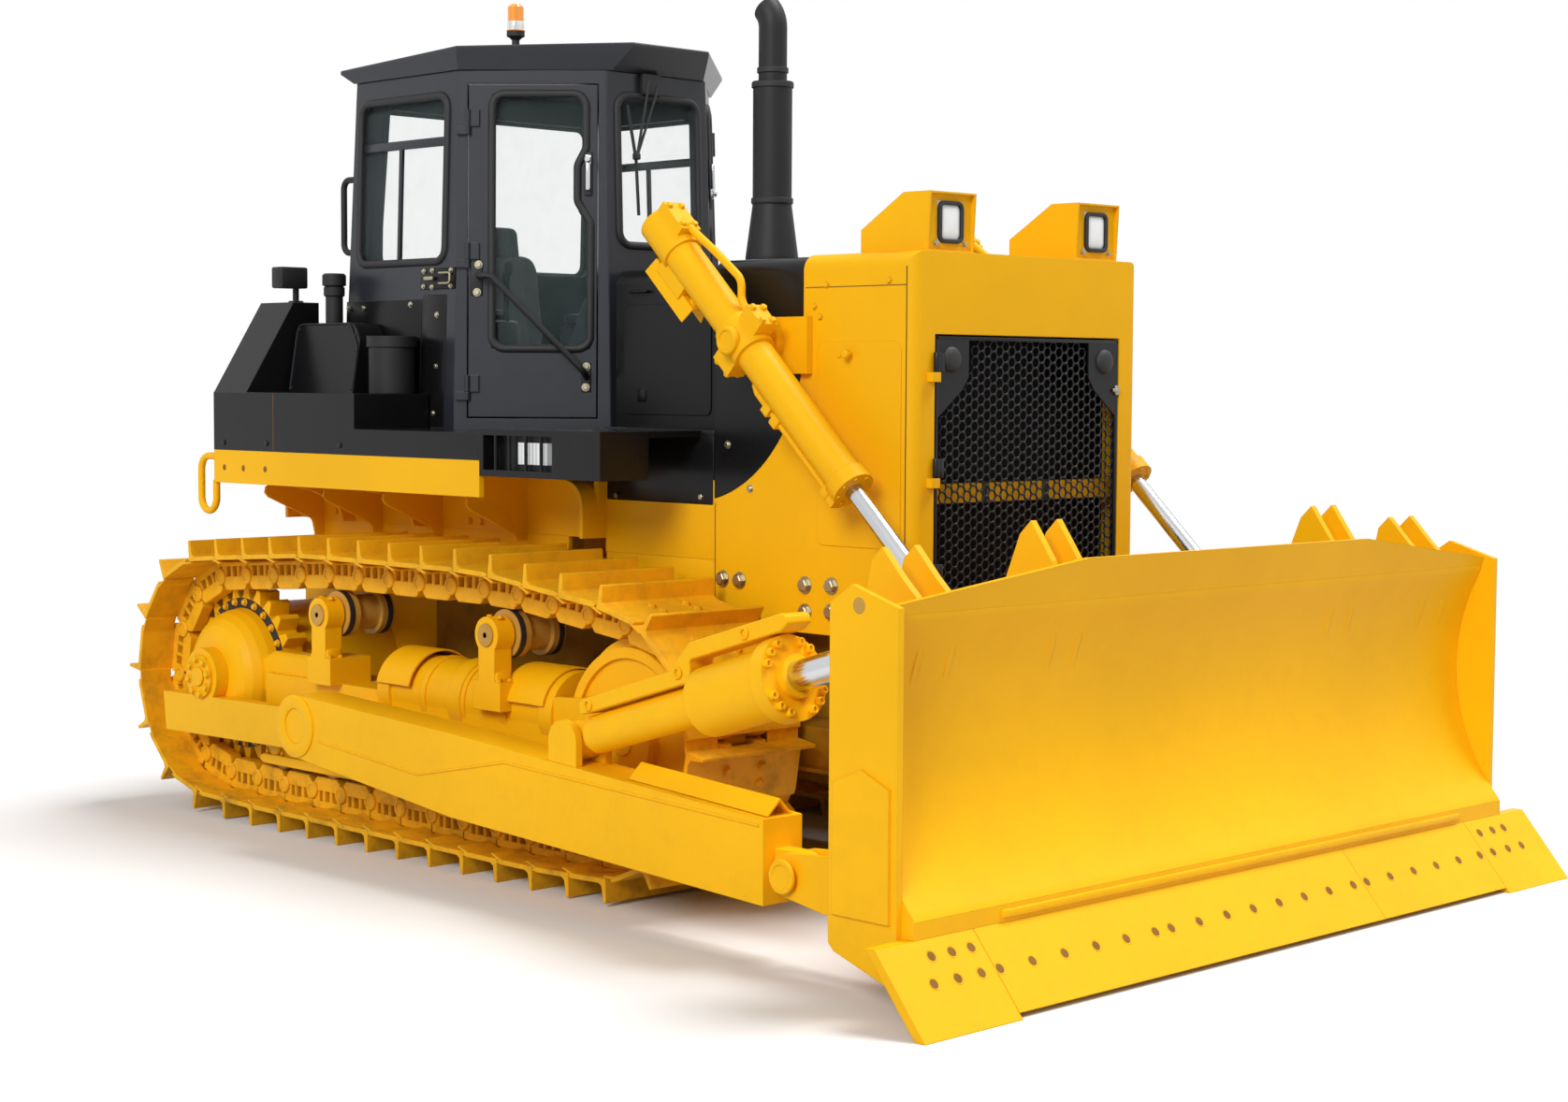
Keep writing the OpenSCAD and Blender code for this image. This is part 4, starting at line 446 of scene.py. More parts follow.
@dataclass(frozen=True)
class Coating:
    """A painted, plated or moulded finish.

    Attributes:
        colour: Linear colour of the clean surface.
        dust: Linear colour of what settles on it.
        dirt: Share of the dust, from 0 to 1.
        rough: Roughness of the clean surface.
        metal: Metallic share.
        grain: Height of the fine texture in millimetres.
        edge: Radius in millimetres by which edges look rounded.
        wear: How far edges go to the worn colour.
        worn: Linear colour of worn edges.
        gloss: Level of the shader's plain reflection.
    """

    colour: tuple
    dust: tuple = (0.30, 0.24, 0.16)
    dirt: float = 0.2
    rough: float = 0.4
    metal: float = 0.0
    grain: float = 0.10
    edge: float = 5.0
    wear: float = 0.25
    worn: tuple = (0.55, 0.42, 0.20)
    gloss: float = 0.5


COATINGS = {
    Finish.YELLOW: Coating((0.96, 0.500, 0.003), dust=(0.55, 0.27, 0.02), dirt=0.18, rough=0.44,
                           worn=(1.0, 0.62, 0.04), gloss=0.16),
    Finish.TRACK: Coating((0.92, 0.46, 0.008), dust=(0.20, 0.10, 0.02), dirt=0.75, rough=0.48, grain=0.3,
                          worn=(1.0, 0.60, 0.07), gloss=0.2),
    Finish.CHARCOAL: Coating((0.021, 0.023, 0.030), dust=(0.09, 0.09, 0.09), dirt=0.2, rough=0.30, gloss=0.4,
                             worn=(0.09, 0.09, 0.095)),
    Finish.BLACK: Coating((0.007, 0.007, 0.008), dust=(0.04, 0.04, 0.04), dirt=0.2, rough=0.26, gloss=0.2,
                          worn=(0.05, 0.05, 0.05)),
    # Main frame: a darker, dirtier yellow, partly dirt and partly painted shade for the hull behind the
    # tracks.
    Finish.GRIME_AND_SHADE: Coating((0.40, 0.19, 0.008), dust=(0.10, 0.06, 0.02), dirt=0.9, rough=0.6, gloss=0.15,
                          worn=(0.6, 0.32, 0.03)),
    Finish.ENGINE: Coating((0.05, 0.05, 0.05), dirt=0.4, rough=0.6),
    Finish.ROLLER: Coating((0.55, 0.30, 0.04), dust=(0.14, 0.09, 0.04), dirt=0.6, rough=0.5,
                           worn=(0.5, 0.42, 0.3)),
    Finish.CORE: Coating((0.004, 0.004, 0.004), dust=(0.02, 0.02, 0.02), dirt=0.2, rough=0.6, gloss=0.1),
    Finish.STACK: Coating((0.014, 0.014, 0.016), dust=(0.05, 0.048, 0.045), dirt=0.25, rough=0.52, grain=0.2,
                          worn=(0.07, 0.07, 0.075), gloss=0.3),
    Finish.GRILLE: Coating((0.011, 0.011, 0.012), dust=(0.07, 0.07, 0.07), dirt=0.15, rough=0.34, edge=1.2,
                           wear=0.2, worn=(0.10, 0.10, 0.10), gloss=0.25),
    Finish.CHROME: Coating((0.62, 0.63, 0.65), dust=(0.35, 0.35, 0.35), dirt=0.15, rough=0.16, metal=1.0,
                           grain=0.02, worn=(0.8, 0.8, 0.8)),
    Finish.RUBBER: Coating((0.013, 0.013, 0.014), dust=(0.08, 0.08, 0.08), dirt=0.2, rough=0.62, grain=0.2,
                           worn=(0.03, 0.03, 0.03)),
    Finish.ZINC: Coating((0.42, 0.38, 0.27), dust=(0.16, 0.12, 0.06), dirt=0.45, rough=0.34, metal=1.0,
                         edge=1.5, worn=(0.75, 0.74, 0.68)),
    Finish.SHADOW: Coating((0.24, 0.11, 0.006), dust=(0.10, 0.05, 0.01), dirt=0.5, rough=0.8, edge=1.0,
                           wear=0.0),
}


class ShaderTree:
    """Small helper that places and links the nodes of one tree."""

    def __init__(self, tree: bpy.types.NodeTree) -> None:
        """Keeps the tree that it writes to."""
        self.tree = tree

    def node(self, kind: str, values: Optional[dict] = None, **links: object) -> bpy.types.Node:
        """Places a node.

        Args:
            kind: Node type without its common prefix.
            values: Settings of the node, and numbers on its sockets by name or place.
            **links: Sockets that feed the node's inputs, with underscores for spaces.

        Returns:
            The node.
        """
        node = self.tree.nodes.new("ShaderNode" + kind)
        for key, value in (values or {}).items():
            if isinstance(key, str) and hasattr(node, key):
                setattr(node, key, value)
            else:
                node.inputs[key].default_value = value
        for key, socket in links.items():
            name = key.replace("_", " ")
            self.tree.links.new(socket, node.inputs[int(key[1:]) if key[1:].isdigit() else name])
        return node

    def feed(self, node: bpy.types.Node, values: dict) -> None:
        """Links or sets inputs of a node.

        Args:
            node: The node.
            values: A socket, number or colour for each input, by the input's place.
        """
        for place, value in values.items():
            if isinstance(value, bpy.types.NodeSocket):
                self.tree.links.new(value, node.inputs[place])
            else:
                node.inputs[place].default_value = value

    def math(self, operation: str, a: object, b: object, clamp: bool = False) -> bpy.types.NodeSocket:
        """Places a Math node.

        Args:
            operation: Name of the sum.
            a: First socket or number.
            b: Second socket or number.
            clamp: Whether the result stays between 0 and 1.

        Returns:
            Its result.
        """
        node = self.node("Math", {"operation": operation, "use_clamp": clamp})
        self.feed(node, {0: a, 1: b})
        return node.outputs[0]

    def mix(self, share: object, a: object, b: object) -> bpy.types.NodeSocket:
        """Places a colour Mix node.

        Args:
            share: Socket or number, the share of the second colour.
            a: First socket or colour.
            b: Second socket or colour.

        Returns:
            Its result.
        """
        node = self.node("Mix", {"data_type": "RGBA"})
        self.feed(node, {0: share, 6: a, 7: b})
        return node.outputs[2]


def opaque(colour: Sequence[float]) -> tuple:
    """Gives a colour with full alpha."""
    return (*colour, 1.0)


class FinishLibrary:
    """Builds each material once, from shader groups that several of them share."""

    TONE_SCALE, DIRT_SCALE, GRAIN_SCALE, CHIP_SCALE = 0.8, 9.0, 260.0, 22.0
    DUST_TOP, DUST_FOOT = 1.5, 0.1
    SOIL_ROUGHENS, SOIL_CLOUDS, CLEAR_ALPHA = 0.35, 0.15, 0.04
    GLASS_TINT, GLASS_DUST, GLASS_DIRT = (0.32, 0.46, 0.45, 1), (0.55, 0.58, 0.56, 1), 0.5
    CLOTH_DARK, CLOTH_PALE = (0.035, 0.042, 0.045, 1), (0.085, 0.10, 0.105, 1)
    # Colour and emission strength of each lens; the emission is a painted highlight.
    LENSES = {Finish.LAMP: ((0.80, 0.82, 0.82), 0.12), Finish.BEACON: ((1.0, 0.33, 0.012), 0.25)}

    def __init__(self) -> None:
        """Builds the shared groups."""
        self.weather = self.weather_group()
        self.edges = self.edge_group()
        self.made: dict[Finish, bpy.types.Material] = {}

    @staticmethod
    def group(name: str, inputs: dict[str, str], outputs: dict[str, str]) -> tuple:
        """Starts a shader group.

        Args:
            name: Name of the group.
            inputs: Kind of each input by its name.
            outputs: Kind of each output by its name.

        Returns:
            The group's tree helper, the sockets that it is given and the sockets that it fills.
        """
        tree = bpy.data.node_groups.new(name, "ShaderNodeTree")
        for way, sockets in (("INPUT", inputs), ("OUTPUT", outputs)):
            for socket, kind in sockets.items():
                tree.interface.new_socket(socket, in_out=way, socket_type="NodeSocket" + kind)
        given, result = tree.nodes.new("NodeGroupInput"), tree.nodes.new("NodeGroupOutput")
        return ShaderTree(tree), given.outputs, result.inputs

    def weather_group(self) -> bpy.types.NodeTree:
        """Tone changes, dust that gathers low down, and fine grain.

        Returns:
            A group with Paint, Dust and Dirt in, and Color, Soil and Height out.
        """
        shader, given, result = self.group("weather", {"Paint": "Color", "Dust": "Color", "Dirt": "Float"},
                                           {"Color": "Color", "Soil": "Float", "Height": "Float"})
        tree = shader.tree
        place = shader.node("TexCoord").outputs["Object"]
        tone = shader.node("TexNoise", {"Scale": self.TONE_SCALE, "Detail": 3.0}, Vector=place).outputs[0]
        spots = shader.node("TexNoise", {"Scale": self.DIRT_SCALE, "Detail": 7.0, "Roughness": 0.68},
                            Vector=place).outputs[0]
        grain = shader.node("TexNoise", {"Scale": self.GRAIN_SCALE, "Detail": 2.0}, Vector=place).outputs[0]
        height = shader.node("SeparateXYZ", {}, Vector=place).outputs[2]
        low = shader.node("MapRange", {"From Min": self.DUST_TOP, "From Max": self.DUST_FOOT, "To Min": 0.3,
                                       "To Max": 1.0}, Value=height).outputs[0]
        speck = shader.node("MapRange", {"From Min": 0.46, "From Max": 0.78}, Value=spots).outputs[0]
        soil = shader.math("MULTIPLY", shader.math("MULTIPLY", speck, low), given["Dirt"], True)
        shade = shader.node("MapRange", {"From Min": 0.3, "From Max": 0.7, "To Min": 0.90, "To Max": 1.04},
                            Value=tone).outputs[0]
        toned = shader.node("HueSaturation", {}, Color=given["Paint"], Value=shade).outputs[0]
        tree.links.new(shader.mix(soil, toned, given["Dust"]), result["Color"])
        tree.links.new(soil, result["Soil"])
        tree.links.new(shader.math("ADD", grain, soil), result["Height"])
        return tree

    def edge_group(self) -> bpy.types.NodeTree:
        """Mask of worn edges: how far a rounded normal turns from the face's own.

        Returns:
            A group with Rounded and Amount in, and Mask out.
        """
        shader, given, result = self.group("edge_wear", {"Rounded": "Vector", "Amount": "Float"},
                                           {"Mask": "Float"})
        face = shader.node("NewGeometry").outputs["Normal"]
        turn = shader.node("VectorMath", {"operation": "DOT_PRODUCT"}, s0=given["Rounded"],
                           s1=face).outputs["Value"]
        sharp = shader.node("MapRange", {"From Min": 0.985, "From Max": 0.80}, Value=turn).outputs[0]
        place = shader.node("TexCoord").outputs["Object"]
        broken = shader.node("TexNoise", {"Scale": self.CHIP_SCALE, "Detail": 5.0}, Vector=place).outputs[0]
        patch = shader.node("MapRange", {"From Min": 0.42, "From Max": 0.62}, Value=broken).outputs[0]
        mask = shader.math("MULTIPLY", shader.math("MULTIPLY", sharp, patch), given["Amount"], True)
        shader.tree.links.new(mask, result["Mask"])
        return shader.tree

    @staticmethod
    def principled(name: str) -> tuple:
        """Starts a material.

        Args:
            name: Name of the material.

        Returns:
            The material, its tree helper and its shader.
        """
        material = bpy.data.materials.new(name)
        material.use_nodes = True
        shader = ShaderTree(material.node_tree)
        return material, shader, material.node_tree.nodes["Principled BSDF"]

    def coated(self, finish: Finish, coating: Coating) -> bpy.types.Material:
        """Builds a coated material from its description.

        Args:
            finish: Finish that the material is named for.
            coating: Its colours and numbers.

        Returns:
            The material.
        """
        material, shader, surface = self.principled(finish.value)
        tree = material.node_tree
        surface.inputs["Metallic"].default_value = coating.metal
        surface.inputs["Specular IOR Level"].default_value = coating.gloss
        weather = shader.node("Group", {"node_tree": self.weather})
        weather.inputs["Paint"].default_value = opaque(coating.colour)
        weather.inputs["Dust"].default_value = opaque(coating.dust)
        weather.inputs["Dirt"].default_value = coating.dirt
        rounded = shader.node("Bevel", {"samples": 4, "Radius": coating.edge * MM}).outputs[0]
        worn = shader.node("Group", {"node_tree": self.edges}, Rounded=rounded)
        worn.inputs["Amount"].default_value = coating.wear
        colour = shader.mix(worn.outputs["Mask"], weather.outputs["Color"], opaque(coating.worn))
        tree.links.new(colour, surface.inputs["Base Color"])
        soiled = shader.math("MULTIPLY", weather.outputs["Soil"], self.SOIL_ROUGHENS)
        tree.links.new(shader.math("ADD", soiled, coating.rough, True), surface.inputs["Roughness"])
        bump = shader.node("Bump", {"Strength": 0.25, "Distance": coating.grain * MM}, Normal=rounded,
                           Height=weather.outputs["Height"])
        tree.links.new(bump.outputs[0], surface.inputs["Normal"])
        return material

    def window_glass(self) -> bpy.types.Material:
        """Thin greenish window glass, seen through straight, with a clear reflection.

        Returns:
            The material.
        """
        material, shader, surface = self.principled(Finish.WINDOW.value)
        tree = material.node_tree
        weather = shader.node("Group", {"node_tree": self.weather})
        weather.inputs["Paint"].default_value = self.GLASS_TINT
        weather.inputs["Dust"].default_value = self.GLASS_DUST
        weather.inputs["Dirt"].default_value = self.GLASS_DIRT
        tree.links.new(weather.outputs["Color"], surface.inputs["Base Color"])
        surface.inputs["Roughness"].default_value = 0.04
        cloud = shader.math("MULTIPLY", weather.outputs["Soil"], self.SOIL_CLOUDS)
        tree.links.new(shader.math("ADD", cloud, self.CLEAR_ALPHA, True), surface.inputs["Alpha"])
        return material

    def lens(self, finish: Finish, colour: tuple, painted_glow: float) -> bpy.types.Material:
        """Moulded lamp lens with fine ribs, brightened by emission as a painted highlight.

        Args:
            finish: Finish that the material is named for.
            colour: Linear colour.
            painted_glow: Strength of the emission that makes the lens shine, a painted highlight.

        Returns:
            The material.
        """
        material, shader, surface = self.principled(finish.value)
        tree = material.node_tree
        place = shader.node("TexCoord").outputs["Object"]
        ribs = shader.node("TexWave", {"Scale": 14.0, "Distortion": 0.4}, Vector=place).outputs["Fac"]
        deep = tuple(part * 0.72 for part in colour)
        tree.links.new(shader.mix(ribs, opaque(colour), opaque(deep)), surface.inputs["Base Color"])
        surface.inputs["Roughness"].default_value = 0.12
        surface.inputs["Coat Weight"].default_value = 0.8
        surface.inputs["Emission Color"].default_value = opaque(colour)
        surface.inputs["Emission Strength"].default_value = painted_glow
        bump = shader.node("Bump", {"Strength": 0.3, "Distance": 0.8 * MM}, Height=ribs)
        tree.links.new(bump.outputs[0], surface.inputs["Normal"])
        return material

    def seat_cover(self) -> bpy.types.Material:
        """Woven seat cloth with a fine cross weave and a soft sheen.

        Returns:
            The material.
        """
        material, shader, surface = self.principled(Finish.SEAT.value)
        tree = material.node_tree
        place = shader.node("TexCoord").outputs["Object"]
        across = shader.node("TexWave", {"bands_direction": "Y", "Scale": 90.0}, Vector=place).outputs["Fac"]
        along = shader.node("TexWave", {"bands_direction": "DIAGONAL", "Scale": 80.0},
                            Vector=place).outputs["Fac"]
        weave = shader.math("MULTIPLY", across, along)
        tree.links.new(shader.mix(weave, self.CLOTH_DARK, self.CLOTH_PALE), surface.inputs["Base Color"])
        surface.inputs["Roughness"].default_value = 0.85
        surface.inputs["Sheen Weight"].default_value = 0.3
        bump = shader.node("Bump", {"Strength": 0.4, "Distance": 1.0 * MM}, Height=weave)
        tree.links.new(bump.outputs[0], surface.inputs["Normal"])
        return material

    def get(self, finish: Finish) -> bpy.types.Material:
        """Gives a finish's material, made at its first use.

        Args:
            finish: The finish.

        Returns:
            Its material.
        """
        if finish not in self.made:
            if finish in COATINGS:
                self.made[finish] = self.coated(finish, COATINGS[finish])
            elif finish is Finish.WINDOW:
                self.made[finish] = self.window_glass()
            elif finish is Finish.SEAT:
                self.made[finish] = self.seat_cover()
            else:
                self.made[finish] = self.lens(finish, *self.LENSES[finish])
        return self.made[finish]


# The slot of each finish that is none itself, and the nodes that wear another finish than their slot's own.
SLOTS = {Finish.RUBBER: Finish.STACK, Finish.ZINC: Finish.ROLLER, Finish.SHADOW: Finish.STACK,
         Finish.BLACK: Finish.CHARCOAL, Finish.GRIME_AND_SHADE: Finish.YELLOW}
BLACK_NODES = ("hood", "fender_boxes", "lamp_boxes", "fuel_tank", "side_covers")
# The main frame's darker yellow is dirt and painted shade together.
NODE_FINISHES = {**dict.fromkeys(BLACK_NODES, Finish.BLACK), "main_frame": Finish.GRIME_AND_SHADE}


@dataclass
class Workshop:
    """Makes pieces from shapes and puts them on their bodies.

    Attributes:
        finishes: Materials.
        origin: Row x of the sprocket axis, in metres.
    """

    finishes: FinishLibrary
    origin: float

    def piece(self, name: str, shape: Shape, finish: Finish, body: str = CHASSIS, smooth: bool = True,
              replaces: Iterable[str] = ()) -> bpy.types.Object:
        """Makes one piece of the object.

        Args:
            name: Name of the piece.
            shape: Its surfaces, in millimetres of the machine frame.
            finish: Its finish.
            body: CAD body that it rides on.
            smooth: Whether faces shade smoothly up to a set angle.
            replaces: CAD nodes that it stands for.

        Returns:
            The new object.
        """
        mesh = bpy.data.meshes.new(name)
        points = shape.array() * MM + np.array([self.origin, 0, 0])
        mesh.from_pydata(points.tolist(), [], shape.faces)
        work = bmesh.new()
        work.from_mesh(mesh)
        bmesh.ops.remove_doubles(work, verts=work.verts, dist=WELD_DISTANCE)
        bmesh.ops.dissolve_degenerate(work, edges=work.edges, dist=WELD_DISTANCE)
        bmesh.ops.recalc_face_normals(work, faces=work.faces)
        work.to_mesh(mesh)
        work.free()
        if smooth:
            mesh.shade_smooth()
            mesh.set_sharp_from_angle(angle=SMOOTH_ANGLE)
        piece = bpy.data.objects.new(name, mesh)
        bpy.context.scene.collection.objects.link(piece)
        mesh.materials.append(self.finishes.get(finish))
        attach(piece, body)
        SLOTS.get(finish, finish).value
        if replaces:
            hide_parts(*replaces)
        LOG.info("%s: %d faces on %s", name, len(mesh.polygons), body)
        return piece

    def pair(self, name: str, shape: Shape, finish: Finish, body: str = CHASSIS) -> None:
        """Makes one piece that holds a shape drawn on the left side and its mirror image."""
        self.piece(name, Shape().add(shape, shape.mirrored()), finish, body)


@dataclass(frozen=True)
class Studio:
    """Camera, floor and light of the photograph's view.

    Attributes:
        eye: Camera's place in the row frame, in metres.
        yaw: Heading of its axis in degrees from the row's x.
        pitch: Climb of its axis in degrees.
        roll: Turn about its axis in degrees.
        lens: Focal length in millimetres.
        floor_half: Half width of the floor in metres.
        floor_dim: Tone of the floor for the light that it throws back.
        floor_pale: Tone of the floor as it is seen.
        white_from: Distance in metres at which the floor starts to go to white.
        white_at: Distance at which it is white.
        ambient: Strength of the surrounding light.
        lamps: Name, direction, power and width in degrees of each lamp.
    """

    eye: tuple = (7.729, -7.291, 1.925)
    yaw: float = 135.74
    pitch: float = -3.76
    roll: float = 0.31
    lens: float = 58.78
    floor_half: float = 60.0
    floor_dim: tuple = (0.55, 0.55, 0.55, 1)
    floor_pale: tuple = (0.86, 0.86, 0.86, 1)
    white_from: float = 3.4
    white_at: float = 6.6
    ambient: float = 0.36
    lamps: tuple = (("key", (0.33, -0.80, 0.48), 1.80, 24), ("top", (0.20, 0.40, 0.89), 2.60, 30))

    def camera(self) -> None:
        """Places the camera: its axes are right, up and the reverse of its heading."""
        yaw, pitch, roll = (math.radians(v) for v in (self.yaw, self.pitch, self.roll))
        ahead = np.array([math.cos(pitch) * math.cos(yaw), math.cos(pitch) * math.sin(yaw), math.sin(pitch)])
        right = unit(np.cross(ahead, (0, 0, 1)))
        up = np.cross(right, ahead)
        turned = math.cos(roll) * right + math.sin(roll) * up
        upright = -math.sin(roll) * right + math.cos(roll) * up
        data = bpy.data.cameras.new("view")
        data.lens, data.sensor_width, data.clip_end = self.lens, 36.0, 200.0
        camera = bpy.data.objects.new("view", data)
        matrix = Matrix.Identity(4)
        for row in range(3):
            matrix[row][0], matrix[row][1], matrix[row][2] = turned[row], upright[row], -ahead[row]
            matrix[row][3] = self.eye[row]
        camera.matrix_world = matrix
        bpy.context.scene.collection.objects.link(camera)
        bpy.context.scene.camera = camera

    @staticmethod
    def seen(shader: ShaderTree) -> bpy.types.NodeSocket:
        """Tells the rays that show the background from those that light the object.

        Args:
            shader: Tree that the nodes go into.

        Returns:
            One for rays that show it, and otherwise zero.
        """
        rays = shader.node("LightPath").outputs
        straight = shader.math("MAXIMUM", rays["Is Camera Ray"], rays["Is Glossy Ray"])
        return shader.math("MAXIMUM", straight, rays["Is Transmission Ray"])

    def floor(self) -> None:
        """Lays a pale floor that keeps the shadow near the object and goes to white far from it."""
        half = self.floor_half
        mesh = bpy.data.meshes.new("floor")
        corners = [(-half, -half, 0), (half, -half, 0), (half, half, 0), (-half, half, 0)]
        mesh.from_pydata(corners, [], [(0, 1, 2, 3)])
        floor = bpy.data.objects.new("floor", mesh)
        bpy.context.scene.collection.objects.link(floor)
        material = bpy.data.materials.new("floor")
        material.use_nodes = True
        tree = material.node_tree
        tree.nodes.clear()
        shader = ShaderTree(tree)
        place = shader.node("TexCoord").outputs["Object"]
        reach = shader.node("VectorMath", {"operation": "LENGTH"}, s0=place).outputs["Value"]
        far = shader.node("MapRange", {"interpolation_type": "SMOOTHSTEP", "From Min": self.white_from,
                                       "From Max": self.white_at}, Value=reach).outputs[0]
        white = shader.node("Emission", {"Color": (1, 1, 1, 1), "Strength": 1.0}).outputs[0]
        tone = shader.mix(self.seen(shader), self.floor_dim, self.floor_pale)
        pale = shader.node("BsdfDiffuse", {}, Color=tone).outputs[0]
        share = shader.math("MULTIPLY", far, self.seen(shader))
        mixed = shader.node("MixShader", {}, s0=share, s1=pale, s2=white).outputs[0]
        output = tree.nodes.new("ShaderNodeOutputMaterial")
        tree.links.new(mixed, output.inputs["Surface"])
        mesh.materials.append(material)
        floor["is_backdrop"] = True

    def light(self) -> None:
        """Sets a white surround, dimmer for the light that it casts, with two soft lamps."""
        world = bpy.data.worlds.new("studio")
        bpy.context.scene.world = world
        world.use_nodes = True
        shader = ShaderTree(world.node_tree)
        seen = self.seen(shader)
        strength = shader.node("MapRange", {"To Min": self.ambient, "To Max": 1.0}, Value=seen).outputs[0]
        background = world.node_tree.nodes["Background"]
        background.inputs["Color"].default_value = (1, 1, 1, 1)
        world.node_tree.links.new(strength, background.inputs["Strength"])
        for name, towards, power, angle in self.lamps:
            data = bpy.data.lights.new(name, "SUN")
            data.energy, data.angle = power, math.radians(angle)
            lamp = bpy.data.objects.new(name, data)
            lamp.matrix_world = Matrix([list(row) for row in axes_on(towards).T]).to_4x4()
            bpy.context.scene.collection.objects.link(lamp)

    def build(self) -> None:
        """Builds camera, floor and light."""
        self.camera()
        self.floor()
        self.light()
        bpy.context.scene.view_settings.view_transform = "Standard"


def dress_frame(nodes: dict, record: dict, finishes: FinishLibrary) -> None:
    """Gives every CAD node the material of its slot.

    Args:
        nodes: CAD objects by name.
        record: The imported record.
        finishes: Materials.
    """
    for row in record["subparts"]:
        node = nodes[row["node"]]
        node.data.materials.clear()
        finish = NODE_FINISHES.get(row["node"], Finish(row["material_slot"]))
        node.data.materials.append(finishes.get(finish))


@dataclass(frozen=True)
class TrackRun:
    """Chain and shoes of both tracks, laid on the path over the wheels.

    Attributes:
        wheels: Place x, z and chain radius of each wheel, in running order.
        shoes: Shoes in one track.
        middle: Distance of the chain from the centre plane.
        shoe_half: Half width of a shoe.
        rail_in: Inner face of a link's rail from the chain's middle.
        rail_out: Outer face of a link's rail from the chain's middle.
        inner: Depth of a link inside the pitch line.
        outer: Depth of a link outside it.
        shoe_t: Thickness of a shoe.
        lug_h: Height of a shoe's lug.
    """

    wheels: tuple = ((0, 615, 437), (820, 940, 167), (1970, 940, 167), (2715, 600, 420), (2310, 340, 172),
                     (400, 340, 172))
    shoes: int = 38
    middle: float = 1000
    shoe_half: float = 280
    rail_in: float = 55
    rail_out: float = 115
    inner: float = 62
    outer: float = 75
    shoe_t: float = 20
    lug_h: float = 73

    def pins(self) -> Array:
        """Places the pins: arcs on the wheels joined by their outer tangents, cut at an equal pitch.

        Returns:
            Pin places in x and z, one for each shoe.
        """
        wheels = np.array(self.wheels, float)
        ahead = np.roll(wheels, -1, 0)
        run = ahead[:, :2] - wheels[:, :2]
        length = np.linalg.norm(run, axis=1, keepdims=True)
        run /= length
        lean = (wheels[:, 2:] - ahead[:, 2:]) / length
        normal = np.stack([-run[:, 1], run[:, 0]], -1) * np.sqrt(1 - lean**2) + run * lean
        leave = np.arctan2(normal[:, 1], normal[:, 0])
        arrive = np.roll(leave, 1)
        sweep_angle = (arrive - leave) % (2 * np.pi)
        t = np.linspace(0, 1, 200)
        angle = arrive[:, None] - sweep_angle[:, None] * t
        arcs = wheels[:, None, :2] + wheels[:, None, 2:] * np.stack([np.cos(angle), np.sin(angle)], -1)
        line = np.concatenate([arcs.reshape(-1, 2), arcs[:1, 0]])
        reach = np.concatenate([[0], np.cumsum(np.linalg.norm(np.diff(line, axis=0), axis=1))])
        stops = np.arange(self.shoes) * reach[-1] / self.shoes
        return np.stack([np.interp(stops, reach, line[:, 0]), np.interp(stops, reach, line[:, 1])], -1)

    def link(self, half: float) -> Shape:
        """One link: two rails, each with posts between its tread and its foot, and a pin boss.

        Args:
            half: Half of the chain's pitch.

        Returns:
            The link, local x along the chain and local z outwards.
        """
        shape = Shape()
        for side in (-1, 1):
            near, far = side * self.rail_in, side * self.rail_out
            tread = [(-half + 14, -40), (-half + 34, -self.inner), (half - 34, -self.inner), (half - 14, -40),
                     (half - 6, 0), (-half + 6, 0)]
            shape.add(side_plate(fillet(tread, 16, 2), near, far, 3))
            foot = [(-half - 6, 44), (half + 6, 44), (half + 6, self.outer), (-half - 6, self.outer)]
            shape.add(side_plate(foot, near, far, 3))
            for x, wide in ((-half + 18, 36), (-26, 18), (26, 18), (half - 24, 46)):
                shape.add(block((x - wide / 2, near, -6), (x + wide / 2, far, 48), 5, 1))
            boss = lathe([(0, 0), (38, 0), (38, 7), (33, 12), (22, 12), (22, 9), (0, 9)], 16)
            shape.add(boss.placed((half - 4, far, 0), axes_on((0, side, 0))))
        return shape.add(tube([(-half, -self.rail_in, 0), (-half, self.rail_in, 0)], 30))

    def shoe(self, half: float) -> Shape:
        """One shoe: a curved plate with a lip that tucks under the next, its tall lug, and four bolts.

        Args:
            half: Half of the chain's pitch.

        Returns:
            The shoe, local x along the chain and local z outwards.
        """
        low, top, tip = self.outer, self.outer + self.shoe_t, self.outer + self.shoe_t + self.lug_h
        section = [(-half + 3, low), (half - 26, low), (half + 2, low + 6), (half + 2, low + 15),
                   (half - 20, top), (-half + 44, top), (-half + 27, top + 10), (-half + 17, tip - 3),
                   (-half + 13, tip), (-half + 5, tip), (-half + 3, tip - 3)]
        shape = side_plate(section, -self.shoe_half, self.shoe_half, 2)
        lip = [(half - 36, low + 4), (half + 36, low - 19), (half + 42, low - 13), (half - 16, low + 10)]
        for side in (-1, 1):
            shape.add(side_plate(lip, side * 124, side * (self.shoe_half - 2), 1))
        spots = [(x, y, top) for x in (-20, 46) for y in (-85, 85)]
        return shape.add(hex_bolt(15, 13).copies(spots))

